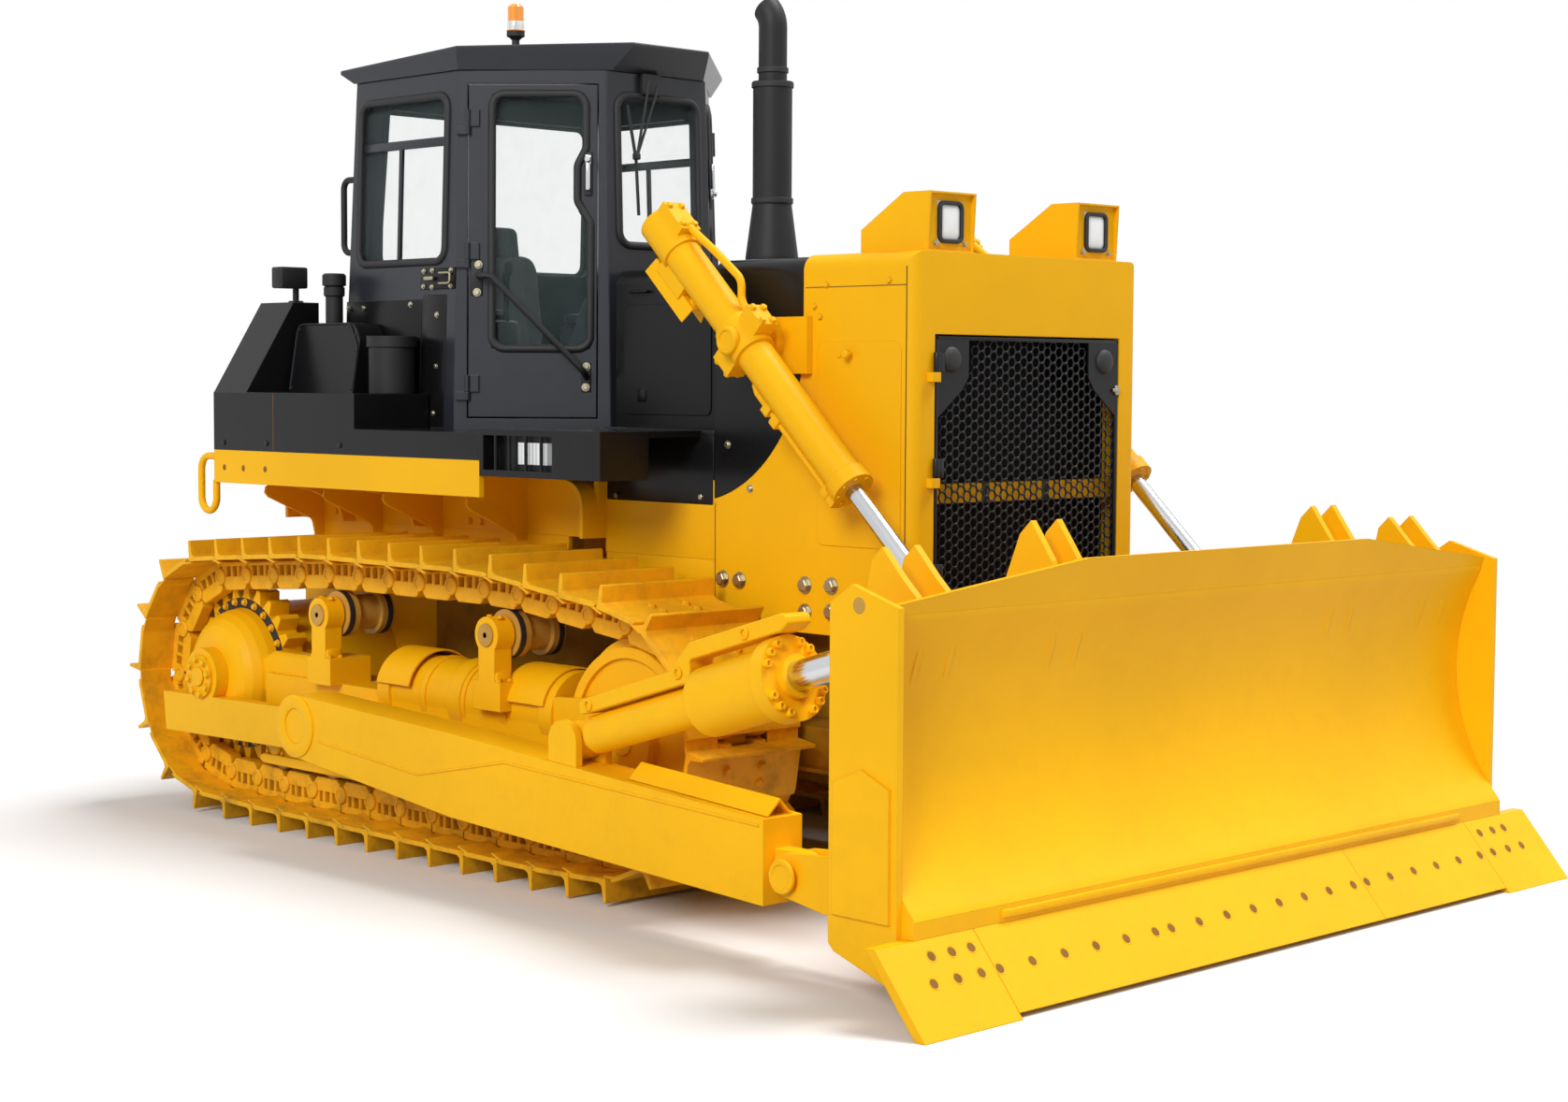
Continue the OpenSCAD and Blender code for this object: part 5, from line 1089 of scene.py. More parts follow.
    def build(self, shop: Workshop) -> None:
        """Lays links and shoes along the path, on both sides.

        Args:
            shop: Where pieces are made.
        """
        pins = self.pins()
        after = np.roll(pins, -1, 0)
        along = after - pins
        half = float(np.linalg.norm(along, axis=1).mean()) / 2
        along /= np.linalg.norm(along, axis=1, keepdims=True)
        zero = np.zeros(len(pins))
        across = np.tile([0.0, 1.0, 0.0], (len(pins), 1))
        axes = np.stack([np.stack([along[:, 0], zero, along[:, 1]], -1), across,
                         np.stack([-along[:, 1], zero, along[:, 0]], -1)], 1)
        middles = (pins + after) / 2
        unit_shape = Shape().add(self.link(half), self.shoe(half))
        for side, name in SIDES:
            origins = on_side(middles, side * self.middle)
            shop.piece(f"track_run_{name}", unit_shape.copies(origins, axes), Finish.TRACK,
                       replaces=[f"track_{name}"])


@dataclass(frozen=True)
class Grille:
    """Punched grille screen with a plain rim, plain upper corners, rubber stops and hinges.

    Attributes:
        half: Half width of the screen.
        low: Lower edge.
        top: Upper edge.
        front: Front face.
        rim: Width of the plain rim.
        pitch: Distance between holes in a column.
        hole_r: Radius of a hole.
        corner: Size of the plain upper corners.
        depth: Depth of the rim.
    """

    half: float = 519
    low: float = 1150
    top: float = 2095
    front: float = 3690
    rim: float = 15
    pitch: float = 39
    hole_r: float = 17.2
    corner: float = 178
    depth: float = 22

    def screen(self) -> Shape:
        """Punched sheet: twelve points of each six-sided cell joined to twelve of its round hole.

        Returns:
            The sheet with its holes' walls.
        """
        step = self.pitch * math.sqrt(3) / 2
        reach = math.floor((self.half - self.rim) / step)
        cols = np.arange(-reach, reach + 1)
        rows = np.arange(int((self.top - self.low) / self.pitch) + 1)
        col, row = np.meshgrid(cols, rows, indexing="ij")
        y = col * step
        z = self.low + self.rim + (row + 0.5 * (col % 2)) * self.pitch
        inside = (z > self.low + self.rim * 0.6) & (z < self.top - self.rim * 1.2)
        y_in, z_in = np.abs(y) - (self.half - self.corner), z - (self.top - self.corner - 60)
        inside &= ~((y_in > 0) & (z_in > 60)) & ~((y_in > -20) & (z_in + y_in > 60 + 40))
        spots = np.stack([y[inside], z[inside]], -1)
        a = np.arange(12) * np.pi / 6
        corner_r = self.pitch / math.sqrt(3)
        cell_r = np.where(np.arange(12) % 2 == 0, corner_r, self.pitch / 2)
        turn = np.stack([np.cos(a), np.sin(a)], -1)
        rings = [(cell_r, -3.0), (np.full(12, self.hole_r + 1.2), -3.0), (np.full(12, self.hole_r), -4.5),
                 (np.full(12, self.hole_r), -9.0), (cell_r, -9.0)]
        cell = np.stack([np.column_stack([turn * r[:, None], np.full(12, depth)]) for r, depth in rings])
        unit_cell = Shape().grid(cell, close_v=True)
        origins = np.column_stack([np.full(len(spots), self.front), spots])
        return unit_cell.copies(origins, YZ)

    def frame(self) -> Shape:
        """Plain rim and corner plates in front of the screen's edge.

        Returns:
            The rim.
        """
        back, front = self.front - self.depth, self.front
        rim, half, low, top = self.rim, self.half, self.low, self.top
        shape = Shape()
        for side in (-1, 1):
            shape.add(block((back, side * half, low), (front, side * (half - rim), top), 4))
            inner, under = half - self.corner, top - self.corner
            plate = [(half - 6, top - 4), (inner, top - 4), (inner, under + 34), (inner + 34, under - 14),
                     (half - 6, under - 120)]
            outline = [(side * y, z) for y, z in plate]
            shape.add(prism(outline, front - 8, front - 0.5, 1).placed((0, 0, 0), YZ))
        for z in (low, top - rim):
            shape.add(block((back, -half, z), (front, half, z + rim), 4))
        return shape

    def build(self, shop: Workshop) -> None:
        """Makes the screen, its rubber stops, hinges and latch.

        Args:
            shop: Where pieces are made.
        """
        shape = self.screen().add(self.frame())
        for share in (0.1, 0.5, 0.9):
            z = self.low + share * (self.top - self.low)
            knuckle = lathe([(0, -35), (11, -35), (12, -33), (12, 33), (11, 35), (0, 35)], 16)
            shape.add(knuckle.placed((self.front + 14, -self.half - 10, z)))
            shape.add(block((self.front - 3, -self.half - 4, z - 34),
                            (self.front + 10, -self.half + 38, z + 34), 3))
        shop.piece("grille_screen", shape, Finish.GRILLE, "grille_door", replaces=["grille_door"])
        dome = lathe([(48, 0), (46, 7), (39, 14), (25, 19), (0, 21)], 32)
        spots = [(self.front - 2, side * (self.half - 84), self.top - 84) for side in (-1, 1)]
        latch = block((self.front - 2, self.half - 24, 1884), (self.front + 10, self.half - 2, 1922), 4)
        latch.add(block((self.front + 2, self.half - 40, 1896), (self.front + 12, self.half, 1910), 4))
        shop.piece("grille_latch", latch, Finish.ZINC, "grille_door")
        posts = [block((3574, y - 14, 1484), (3625, y + 14, 1566), 4) for y in (-170, 175)]
        shop.piece("grille_posts", Shape().add(*posts), Finish.RUBBER)
        stops = dome.copies(spots, axes_on((1, 0, 0)))
        shop.piece("grille_stops", stops, Finish.RUBBER, "grille_door")


@dataclass(frozen=True)
class Wall:
    """One leaning wall of the cab.

    Attributes:
        foot: Rear or right lower corner in x and y.
        along: Direction of the wall's run.
        out: Outward direction.
        low_z: Height of the wall's foot.
        top_z: Height of its top.
        lean: Distance by which its top stands further in than its foot.
    """

    foot: tuple
    along: tuple
    out: tuple
    low_z: float = 1680
    top_z: float = 3225
    lean: float = 50

    def at(self, points: Sequence[Point], proud: float = 0) -> Array:
        """Gives places on the wall from distances along it and heights.

        Args:
            points: Distance along the wall and height of each place.
            proud: Distance outwards from the wall's face.

        Returns:
            Places in the machine frame.
        """
        points = np.asarray(points, float)
        shift = proud - self.lean * (points[:, 1:] - self.low_z) / (self.top_z - self.low_z)
        flat = np.array(self.foot) + points[:, :1] * np.array(self.along) + shift * np.array(self.out)
        return np.column_stack([flat, points[:, 1]])

    def spot(self, along: float, height: float, proud: float = 0) -> Array:
        """Gives one place on the wall."""
        return self.at([(along, height)], proud)[0]

    def axes(self) -> Array:
        """Gives the wall's own axes.

        Returns:
            A 3 by 3 array whose rows run along the wall, up it and out of it.
        """
        out = unit((*self.out, self.lean / (self.top_z - self.low_z)))
        along = np.array([*self.along, 0.0])
        return np.stack([along, np.cross(out, along), out])

    def seal(self, outline: Array, wide: float = 34, high: float = 15) -> Shape:
        """Rubber strip that runs round an outline, its section a low rounded hump.

        Args:
            outline: Distances along the wall and heights.
            wide: Width of the strip.
            high: Height of the hump.

        Returns:
            The closed strip.
        """
        return sweep(self.at(outline), circle(1) * (wide / 2, high), self.axes()[2], closed=True)

    def plate(self, corners: Sequence[float], half: float, proud: float = 0) -> Shape:
        """Plate that lies on the wall, a rounded box about the middle of its corners.

        Args:
            corners: Distance along the wall and height of its lowest corner and of its highest one.
            half: Half of its thickness.
            proud: Distance of its middle outwards from the wall's face.

        Returns:
            The closed plate.
        """
        u0, z0, u1, z1 = corners
        size = np.array([(u1 - u0) / 2, (z1 - z0) / 2, half])
        return block(-size, size).placed(self.spot((u0 + u1) / 2, (z0 + z1) / 2, proud), self.axes())


def side_walls(side: int) -> dict:
    """Gives the cab's side wall and door wall on one side.

    Args:
        side: Minus one for the right, one for the left.

    Returns:
        Walls by name.
    """
    run = unit((478, -side * 462))
    return {
        "side": Wall((360, side * 760), (1, 0), (0, side)),
        "door": Wall((1168, side * 760), tuple(run), tuple(unit((462, side * 478)))),
    }


@dataclass(frozen=True)
class Cab:
    """Roof and trim of the cab: rubber seals, window bars, door gear, wiper, latches and controls.

    Attributes:
        front: Foot of the front wall.
        front_foot: Half width of the front wall.
        side_window: Lowest and highest corner of a side window, along its wall and in height.
        front_half: Half width of the front window.
        rear_half: Half width of the rear window.
        corner_r: Radius of the windows' corners.
        handle: Place of a door's handle, along its wall and in height.
        roof_foot: Right corners of the roof's foot, from rear to front.
        roof_lip: Right corners of the roof's lip.
        roof_low: Height of the roof's foot.
        eaves: Height of the lip's underside at the rear.
        fall: Slope of the roof in degrees.
    """

    front: float = 1646
    front_foot: float = 298
    side_window: tuple = ((90, 2430), (718, 3130))
    front_half: float = 228
    rear_half: float = 600
    corner_r: float = 60
    handle: tuple = (566, 2800)
    roof_foot: tuple = ((400, -720), (1153, -720), (1606, -258))
    roof_lip: tuple = ((350, -755), (1188, -755), (1691, -212))
    roof_low: float = 3226
    eaves: float = 3267
    fall: float = 2.4

    def rectangle(self, low: Point, high: Point) -> Array:
        """Gives a window's rounded outline between two corners."""
        return fillet([low, (high[0], low[1]), high, (low[0], high[1])], self.corner_r)

    def door_outline(self) -> Array:
        """Gives the door window's outline, narrowed beside the handle."""
        return fillet([(160, 2062), (576, 2062), (576, 2590), (520, 2680), (520, 2830), (556, 2900),
                       (556, 3128), (160, 3128)], 55)

    def windows(self, shop: Workshop) -> None:
        """Makes the seals and bars of the fixed windows.

        Args:
            shop: Where pieces are made.
        """
        front = Wall((self.front, -self.front_foot), (0, 1), (1, 0))
        rear = Wall((360, -760), (0, 1), (-1, 0))
        middle, half = self.front_foot, self.front_half
        seals = front.seal(self.rectangle((middle - half, 2500), (middle + half, 3130)))
        seals.add(rear.seal(self.rectangle((760 - self.rear_half, 2420), (760 + self.rear_half, 3120))))
        bars = Shape()
        (left, low), (right, high) = self.side_window
        for side, _ in SIDES:
            wall = side_walls(side)["side"]
            seals.add(wall.seal(self.rectangle((left, low), (right, high))))
            for corners in ((left, 2918, right, 2956), (366, low, 386, 2920),
                            (right - 24, 2660, right + 4, 2735), (right - 30, 2440, right - 4, 2520)):
                bars.add(wall.plate(corners, 9, -14))
        shop.piece("cab_seals", seals, Finish.RUBBER)
        shop.piece("cab_window_bars", bars, Finish.CHARCOAL)

    def doors(self, shop: Workshop) -> None:
        """Makes each door's seal, handle, grab bar and screws.

        Args:
            shop: Where pieces are made.
        """
        for side, name in SIDES:
            wall = side_walls(side)["door"]
            axes = wall.axes()
            body = f"door_{name}"
            shop.piece(f"door_seal_{name}", wall.seal(self.door_outline()), Finish.RUBBER, body)
            bar = [wall.spot(108, 2366, 8), wall.spot(110, 2366, 62), wall.spot(165, 2364, 66),
                   wall.spot(556, 1968, 66), wall.spot(562, 1944, 6)]
            grab = tube(bar, 13, 40)
            grab.add(block((-30, -72, 0), (22, 72, 7), 6).placed(wall.spot(100, 2355), axes),
                     block((-20, -62, 0), (20, 62, 7), 6).placed(wall.spot(560, 1943), axes))
            shop.piece(f"door_grab_{name}", grab, Finish.STACK, body)
            screws = wall.at([(561, 1988), (558, 1901), (105, 2413), (99, 2297)], 6)
            shop.piece(f"door_screws_{name}", hex_bolt(13, 9).copies(screws, axes), Finish.ZINC, body)
            stem = lathe([(0, 0), (14, 0), (14, 34), (9, 38), (0, 38)]).placed((0, 52, 0))
            handle = block((-11, -78, 12), (11, 66, 30), 8).add(block((-15, 30, 0), (15, 74, 26), 8), stem)
            spot = wall.spot(*self.handle)
            shop.piece(f"door_handle_{name}", handle.placed(spot, axes), Finish.CHROME, body)
            base = block((-17, -98, 0), (17, 84, 10), 8).placed(spot, axes)
            shop.piece(f"door_handle_base_{name}", base, Finish.RUBBER, body)

    def latches(self, shop: Workshop) -> None:
        """Makes the latch plates at the cab's corners and the bolted lower panels.

        Args:
            shop: Where pieces are made.
        """
        plates, screws, hooks = Shape(), Shape(), Shape()
        for side, _ in SIDES:
            wall = side_walls(side)["side"]
            axes = wall.axes()
            for corners, half in (((560, 2312, 800, 2402), 9), ((10, 1885, 566, 2272), 4),
                                  ((574, 1730, 738, 2290), 4)):
                plates.add(wall.plate(corners, half))
            spots = [(140, 2241), (488, 2251), (678, 2204), (678, 1986), (665, 1787), (30, 2241)]
            screws.add(hex_bolt(10, 7).copies(wall.at(spots, 4), axes))
            spots = [(585, 2390), (585, 2325), (645, 2392), (645, 2322), (776, 2390), (776, 2325)]
            screws.add(hex_bolt(9, 7).copies(wall.at(spots, 9), axes))
            hook = wall.at([(715, 2380), (790, 2380), (790, 2336), (715, 2336)], 26)
            hooks.add(tube(hook, 5, 12, 8))
            hooks.add(block((-32, -9, 4), (32, 9, 22), 6).placed(wall.spot(640, 2358, 9), axes))
        shop.piece("cab_side_plates", plates, Finish.BLACK)
        shop.piece("cab_side_screws", screws, Finish.ZINC)
        shop.piece("cab_latch_hooks", hooks, Finish.ZINC)

    def wipers(self, shop: Workshop) -> None:
        """Makes the front wiper: motor cover, two arms and a blade.

        Args:
            shop: Where pieces are made.
        """
        wall = Wall((self.front, 0), (0, 1), (1, 0))
        axes = wall.axes()
        gear = block((-52, -46, 0), (52, 46, 34), 10).placed(wall.spot(-52, 3180), axes)
        hub = (-153, 2872)
        for start in ((-74, 3200), (-22, 3180)):
            gear.add(tube(wall.at([start, hub], 36), 6, 0, 8))
        gear.add(tube(wall.at([(-193, 3085), (-150, 2860), (-141, 2627)], 26), 7, 200, 8))
        gear.add(block((-14, -14, 20), (14, 14, 46), 5).placed(wall.spot(*hub), axes))
        shop.piece("cab_wiper", gear, Finish.RUBBER)

    def controls(self, shop: Workshop) -> None:
        """Makes the dash, the two side consoles and the levers that show through the glass.

        Args:
            shop: Where pieces are made.
        """
        dash = [(1260, 1690), (1500, 1690), (1500, 2300), (1440, 2360), (1340, 2250), (1260, 2100)]
        shape = side_plate(fillet(dash, 40), -210, 210, 8)
        for side, _ in SIDES:
            shape.add(block((560, side * 300, 1690), (1060, side * 440, 2190), 30))
            shape.add(block((600, side * 292, 2190), (940, side * 452, 2240), 24))
        shop.piece("cab_consoles", shape, Finish.CHARCOAL)
        levers = Shape()
        knob = lathe([(0, -34), (15, -28), (20, 0), (16, 28), (0, 36)], 14)
        for x, y, z in ((1010, 372, 2420), (1040, -372, 2410), (980, -340, 2380)):
            levers.add(tube([(x, y, 2180), (x + 8, y, z)], 8, 0, 8), knob.placed((x + 8, y, z)))
        shop.piece("cab_levers", levers, Finish.RUBBER)

    def roof(self, shop: Workshop) -> None:
        """Makes the roof: a fascia that flares from its foot to a thin lip, under a top that falls rearwards.

        Args:
            shop: Where pieces are made.
        """
        foot, lip = (np.array([*right, *((x, -y) for x, y in right[::-1])], float)
                     for right in (self.roof_foot, self.roof_lip))
        slope = self.eaves + (lip[:, 0] - 360) * math.tan(math.radians(self.fall))
        inset = lip * 0.994 + (5, 0)
        rows = [(foot, np.full(6, self.roof_low)), (lip, slope), (lip, slope + 13), (inset, slope + 17.5)]
        points = np.stack([np.column_stack([ring, z]) for ring, z in rows])
        shape = Shape().grid(points, close_v=True).ngon(points[0][::-1]).ngon(points[-1])
        shop.piece("roof_shell", shape, Finish.CHARCOAL, replaces=["cab_roof"])

    def build(self, shop: Workshop) -> None:
        """Makes the roof and all trim of the cab.

        Args:
            shop: Where pieces are made.
        """
        for make in (self.roof, self.windows, self.doors, self.latches, self.wipers, self.controls):
            make(shop)


def signed_power(values: Array, power: float) -> Array:
    """Raises the size of each value to a power and keeps its sign."""
    return np.sign(values) * np.abs(values) ** power


@dataclass(frozen=True)
class Seat:
    """Operator's seat: padded cushion, back and headrest on a post.

    Attributes:
        middle: Place of the seat's middle in x.
        cushion_z: Underside of the cushion.
        lean: Lean of the back in degrees.
        square: Power that makes the pads boxy.
        fill: How full the pads are; not used.
    """

    middle: float = 700
    cushion_z: float = 1940
    lean: float = 8
    square: float = 0.42
    fill: float = 0.8

    def pad(self, size: Point, crown: float, pinch: float) -> Shape:
        """Crowned pad: sine and cosine of two angles, raised to a power, give a box with round edges.

        Its middle swells, its sides draw in between the corners, and two grooves run along it.

        Args:
            size: Full length, width and thickness.
            crown: Share by which the middle swells.
            pinch: Share by which the sides draw in.

        Returns:
            The closed pad about its own middle.
        """
        v = np.linspace(-np.pi / 2, np.pi / 2, 27)[:, None]
        u = np.linspace(0, 2 * np.pi, 56, endpoint=False)[None, :]
        level = signed_power(np.cos(v), self.square)
        x, y = level * signed_power(np.cos(u), self.square), level * signed_power(np.sin(u), self.square)
        z = signed_power(np.sin(v), self.square) + 0 * u
        swell = 1 + crown * (1 - x**2) * (1 - y**2)
        groove = 1 - 0.16 * np.exp(-((np.abs(y) - 0.56) / 0.05) ** 2)
        drawn_x, drawn_y = x * (1 - pinch * (1 - y**2)), y * (1 - pinch * (1 - x**2))
        thick = z * swell * groove * size[2] / 2.3
        points = np.stack([drawn_x * size[0] / 2, drawn_y * size[1] / 2, thick], -1)
        return Shape().grid(points, close_v=True)

    def build(self, shop: Workshop) -> None:
        """Makes the three pads and the post.

        Args:
            shop: Where pieces are made.
        """
        top = self.cushion_z + 140
        post = block((520, -160, 1684), (880, 160, 1870), 30)
        shop.piece("seat_post", post.add(block((480, -215, 1870), (920, 215, 1945), 24)), Finish.STACK)
        axes = pitched(self.lean - 90)
        cushion = self.pad((500, 490, 150), 0.12, 0.05).placed((self.middle, 0, self.cushion_z + 74))
        back = self.pad((470, 470, 130), 0.12, 0.06).placed((self.middle - 205, 0, top + 200), axes)
        rest = self.pad((170, 270, 105), 0.15, 0.06).placed((self.middle - 242, 0, top + 468), axes)
        shop.piece("seat_cushion", cushion, Finish.SEAT, replaces=["seat_unit"])
        shop.piece("seat_back", back, Finish.SEAT)
        shop.piece("seat_headrest", rest, Finish.SEAT)


@dataclass(frozen=True)
class Headlamps:
    """Rims, lenses and screws of the two headlamps on the guard.

    Attributes:
        front: Face of the lamp's recess.
        middle: Distance from the centre plane.
        height: Height of the lens's middle.
        bulge: Height of the lens's bulge.
    """

    front: float = 3652
    middle: float = 413
    height: float = 2503
    bulge: float = 12

    def build(self, shop: Workshop) -> None:
        """Makes a black rim, a bulged lens and two screws for each lamp.

        The lens is its outline drawn in to the middle, raised by the root of one less the share squared.

        Args:
            shop: Where pieces are made.
        """
        rims, lenses, screws = Shape(), Shape(), Shape()
        for side, _ in SIDES:
            spot = np.array([self.front, side * self.middle, self.height])
            ring = fillet([(-58, -68), (58, -68), (58, 68), (-58, 68)], 20)
            path = spot + np.column_stack([np.full(len(ring), 6.0), ring])
            section = fillet([(-7, -8), (7, -8), (7, 8), (-7, 8)], 3, 3)
            rims.add(sweep(path, section, (1, 0, 0), closed=True))
            u = np.concatenate([np.linspace(0, 1, 9), [1, 0]])[:, None, None]
            flat = u * fillet([(-53, -63), (53, -63), (53, 63), (-53, 63)], 24)[None]
            rise = self.bulge * np.sqrt(1 - 0.96 * u[..., 0] ** 2) + 0 * flat[..., 0]
            rise[-2:] = -2
            lenses.add(Shape().grid(spot + np.stack([rise, flat[..., 0], flat[..., 1]], -1), close_v=True))
            spots = spot + np.array([(6, -78, -78), (6, 78, -78)])
            screws.add(hex_bolt(8, 6).copies(spots, axes_on((1, 0, 0))))
        shop.piece("headlamp_rims", rims, Finish.RUBBER)
        shop.piece("headlamp_lenses", lenses, Finish.LAMP)
        shop.piece("headlamp_screws", screws, Finish.ZINC)


@dataclass(frozen=True)
class Guard:
    """Panels, bolts and seams on the radiator guard, hood and side covers.

    Attributes:
        half: Outer face of the guard's sides.
        bolts: Places of the large bolts in x and z.
        screws: Places of the small bolts.
        caps: Places of the painted bolts.
        seams: Corners of the gaps between panels in x and z.
    """

    half: float = 640
    bolts: tuple = ((2711, 1176), (2805, 1175), (3158, 1178), (3295, 1183), (2888, 1041), (3159, 1077),
                    (3295, 1087))
    screws: tuple = ((2734, 1688), (2859, 1525), (2087, 1473), (2587, 1484))
    caps: tuple = ((3260, 2282), (3574, 2291), (3198, 2205), (3228, 2167), (3330, 2025))
    seams: tuple = (((3655, 1060), (3659, 2340)), ((3150, 2272), (3655, 2276)), ((2664, 1003), (2668, 1464)))

    def build(self, shop: Workshop) -> None:
        """Makes the panels, their bolts and knobs, and the dark gaps between them.

        Args:
            shop: Where pieces are made.
        """
        out = axes_on((0, 1, 0))
        panel = fillet([(3216, 1330), (3636, 1330), (3636, 2076), (3216, 2076)], 36)
        shop.pair("guard_panels", side_plate(panel, self.half - 1, self.half + 4, 2), Finish.YELLOW)
        bolts = hex_bolt(25, 20).copies(on_side(self.bolts, self.half), out)
        bolts.add(hex_bolt(12, 9).copies(on_side(self.screws, self.half), out))
        shop.pair("guard_bolts", bolts, Finish.ZINC)
        knobs = hex_bolt(10, 8).copies(on_side(self.caps, self.half), out)
        knob = lathe([(0, 0), (9, 0), (9, 16), (17, 18), (17, 34), (12, 38), (0, 38)], 16)
        shop.pair("guard_knobs", knobs.add(knob.placed((3387, self.half + 3, 2030), out)), Finish.YELLOW)
        hood = fillet([(1745, 1790), (2283, 1790), (2283, 2243), (1745, 2243)], 30)
        pull = [(1800, 312, 2296), (1800, 336, 2296), (1900, 336, 2296), (1900, 312, 2296)]
        doors = side_plate(hood, 308, 315, 2)
        doors.add(block((1840, 312, 1845), (1890, 321, 1895), 4), tube(pull, 6, 14))
        shop.pair("hood_doors", doors, Finish.BLACK)
        gaps = Shape().add(*(seam(low, high, self.half) for low, high in self.seams))
        shop.pair("guard_gaps", gaps, Finish.SHADOW)


@dataclass(frozen=True)
class Blade:
    """Skin, bolts, strip and end holes of the blade. The end holes and the bolts' sockets are discs of
    painted shade.

    Attributes:
        tip: Place of the cutting edge's tip.
        angle: Climb of the cutting edge's face in degrees.
        row_z: Height of the lower row of bolts.
        high_z: Height of the end bits' upper row.
        low_row: Places of the lower row's bolts in y.
        high_row: Places of the upper row's bolts in y.
        curve: Centre in x and z and radius of the face.
        skin: Greatest thickness of the skin on the face.
    """

    tip: float = 4898
    angle: float = 50
    row_z: float = 136
    high_z: float = 203
    low_row: tuple = (-1701, -1594, -1487, -1402, -1248, -1092, -935, -780, -627, -542, -389, -234, -82, 70,
                      222, 375, 528, 615, 768, 925, 1080, 1237, 1390, 1487, 1597, 1699)
    high_row: tuple = (-1652, -1561, -1472, 1482, 1575, 1657)
    curve: tuple = (5170.5, 822, 709)
    skin: float = 22

    def face(self) -> Shape:
        """Smooth skin over the moldboard: an arc about the blade's centre, thickest at mid height.

        Returns:
            The closed skin.
        """
        x0, z0, radius = self.curve
        z = np.linspace(301, 1224, 64)
        rise = self.skin * np.sin(np.pi * np.linspace(0, 1, 64)) ** 0.35
        behind = x0 - np.sqrt(radius**2 - (z - z0) ** 2)
        front = np.stack([behind + 0.6 + rise, z], -1)
        back = np.stack([behind - 5, z], -1)[::-1]
        return side_plate(np.concatenate([front, back]), -1689, 1689, 0.2)

    def build(self, shop: Workshop) -> None:
        """Makes the face's skin, the sunk bolts of the edges, the strip above them and the end plates' holes.
        The bolts' sockets and the holes are flat discs whose colour is painted shade.

        Args:
            shop: Where pieces are made.
        """
        climb = math.radians(self.angle)
        axes = axes_on((math.sin(climb), 0, math.cos(climb)))
        spots = np.array([(self.tip - z / math.tan(climb), y, z) for row, z in
                          ((self.low_row, self.row_z), (self.high_row, self.high_z)) for y in row])
        rim = lathe([(22, -1), (21, 1.6), (17, 0.6), (16, -1)], 20)
        shop.piece("edge_bolt_rims", rim.copies(spots, axes), Finish.YELLOW, "blade")
        # Each socket is a flat dark disc: painted shade of a sunk hole.
        socket = lathe([(16, 0.1), (16, 0.4), (10, 0.6), (0, 0.6)], 20)
        shop.piece("edge_bolt_sockets", socket.copies(spots, axes), Finish.SHADOW, "blade")
        shop.piece("blade_face", self.face(), Finish.YELLOW, "blade")
        strip = block((4684, -1290, 262), (4703, 1380, 288), 5)
        shop.piece("blade_strip", strip, Finish.YELLOW, "blade")
        # The hole is a flat disc; its brownish yellow is painted shade inside the hole.
        hole = lathe([(0, 0.8), (24, 0.8), (26, 0), (26, -2)], 24)
        holes = hole.placed((4475, 1715, 1250), axes_on((0, 1, 0)))
        shop.pair("blade_end_holes", holes, Finish.ROLLER, "blade")


@dataclass(frozen=True)
class LiftGear:
    """Pipes, caps and bolts of the lift cylinders.

    Attributes:
        pivot: Place of the yoke's pivot in x and z.
        out: Distance of the cylinders from the centre plane.
        angle: Climb of the cylinders in degrees.
        gland: Distance of the gland's face from the pivot.
    """

    pivot: tuple = (2997, 2078)
    out: float = 800
    angle: float = -43.41
    gland: float = 773

    def build(self, shop: Workshop) -> None:
        """Makes the head's bent pipe, the hose channel and the bolts of head, yoke caps and gland.

        Args:
            shop: Where pieces are made.
        """
        bend = [(-560, 0, 96), (-470, 0, 108), (-330, 0, 132), (-170, 0, 150), (-120, 0, 96), (-70, 0, 84)]
        pipe = tube(bend, 15, 60)
        union = lathe([(0, 0), (24, 0), (24, 30), (17, 34), (0, 34)], 16)
        pipe.add(union.placed((-545, 0, 92), axes_on((1, 0, 0.2))))
        pipe.add(tube([(150, 0, -78), (180, 0, -92), (262, 0, -92)], 14, 20))
        channel = [(-36, -84), (36, -84), (52, -150), (46, -152), (31, -90), (-31, -90), (-46, -152),
                   (-52, -150)]
        pipe.add(prism(channel, -548, -262, 1.5).placed((0, 0, 0), YZ))
        pipe.add(tube([(-300, 0, -70), (-300, 0, -92)], 20))
        for way in (1, -1):
            spots = [(x, y, way * 132) for x in (-34, 34) for y in (-26, 26)]
            pipe.add(hex_bolt(13, 11).copies(spots, axes_on((0, 0, way))))
        spots = [(x, y, 104) for x in (-632, -530) for y in (-30, 30)]
        pipe.add(hex_bolt(12, 10).copies(spots, axes_on((0, 0, 1))))
        spots = np.column_stack([np.full(8, self.gland), circle(64, 8, 0.3)])
        pipe.add(socket_bolt(7, 8).copies(spots, axes_on((1, 0, 0))))
        cap = lathe([(0, 0), (52, 0), (52, 18), (46, 24), (36, 24), (34, 19), (0, 19)], 28)
        pipe.add(cap.placed((0, 78, 0), axes_on((0, 1, 0))))
        for x in (330, 690):
            pipe.add(block((x - 22, -26, -116), (x + 22, 26, -66), 8))
        placed = pipe.placed((self.pivot[0], self.out, self.pivot[1]), pitched(self.angle))
        for name, shape in (("right", placed.mirrored()), ("left", placed)):
            shop.piece(f"lift_gear_{name}", shape, Finish.YELLOW, f"lift_barrel_{name}")


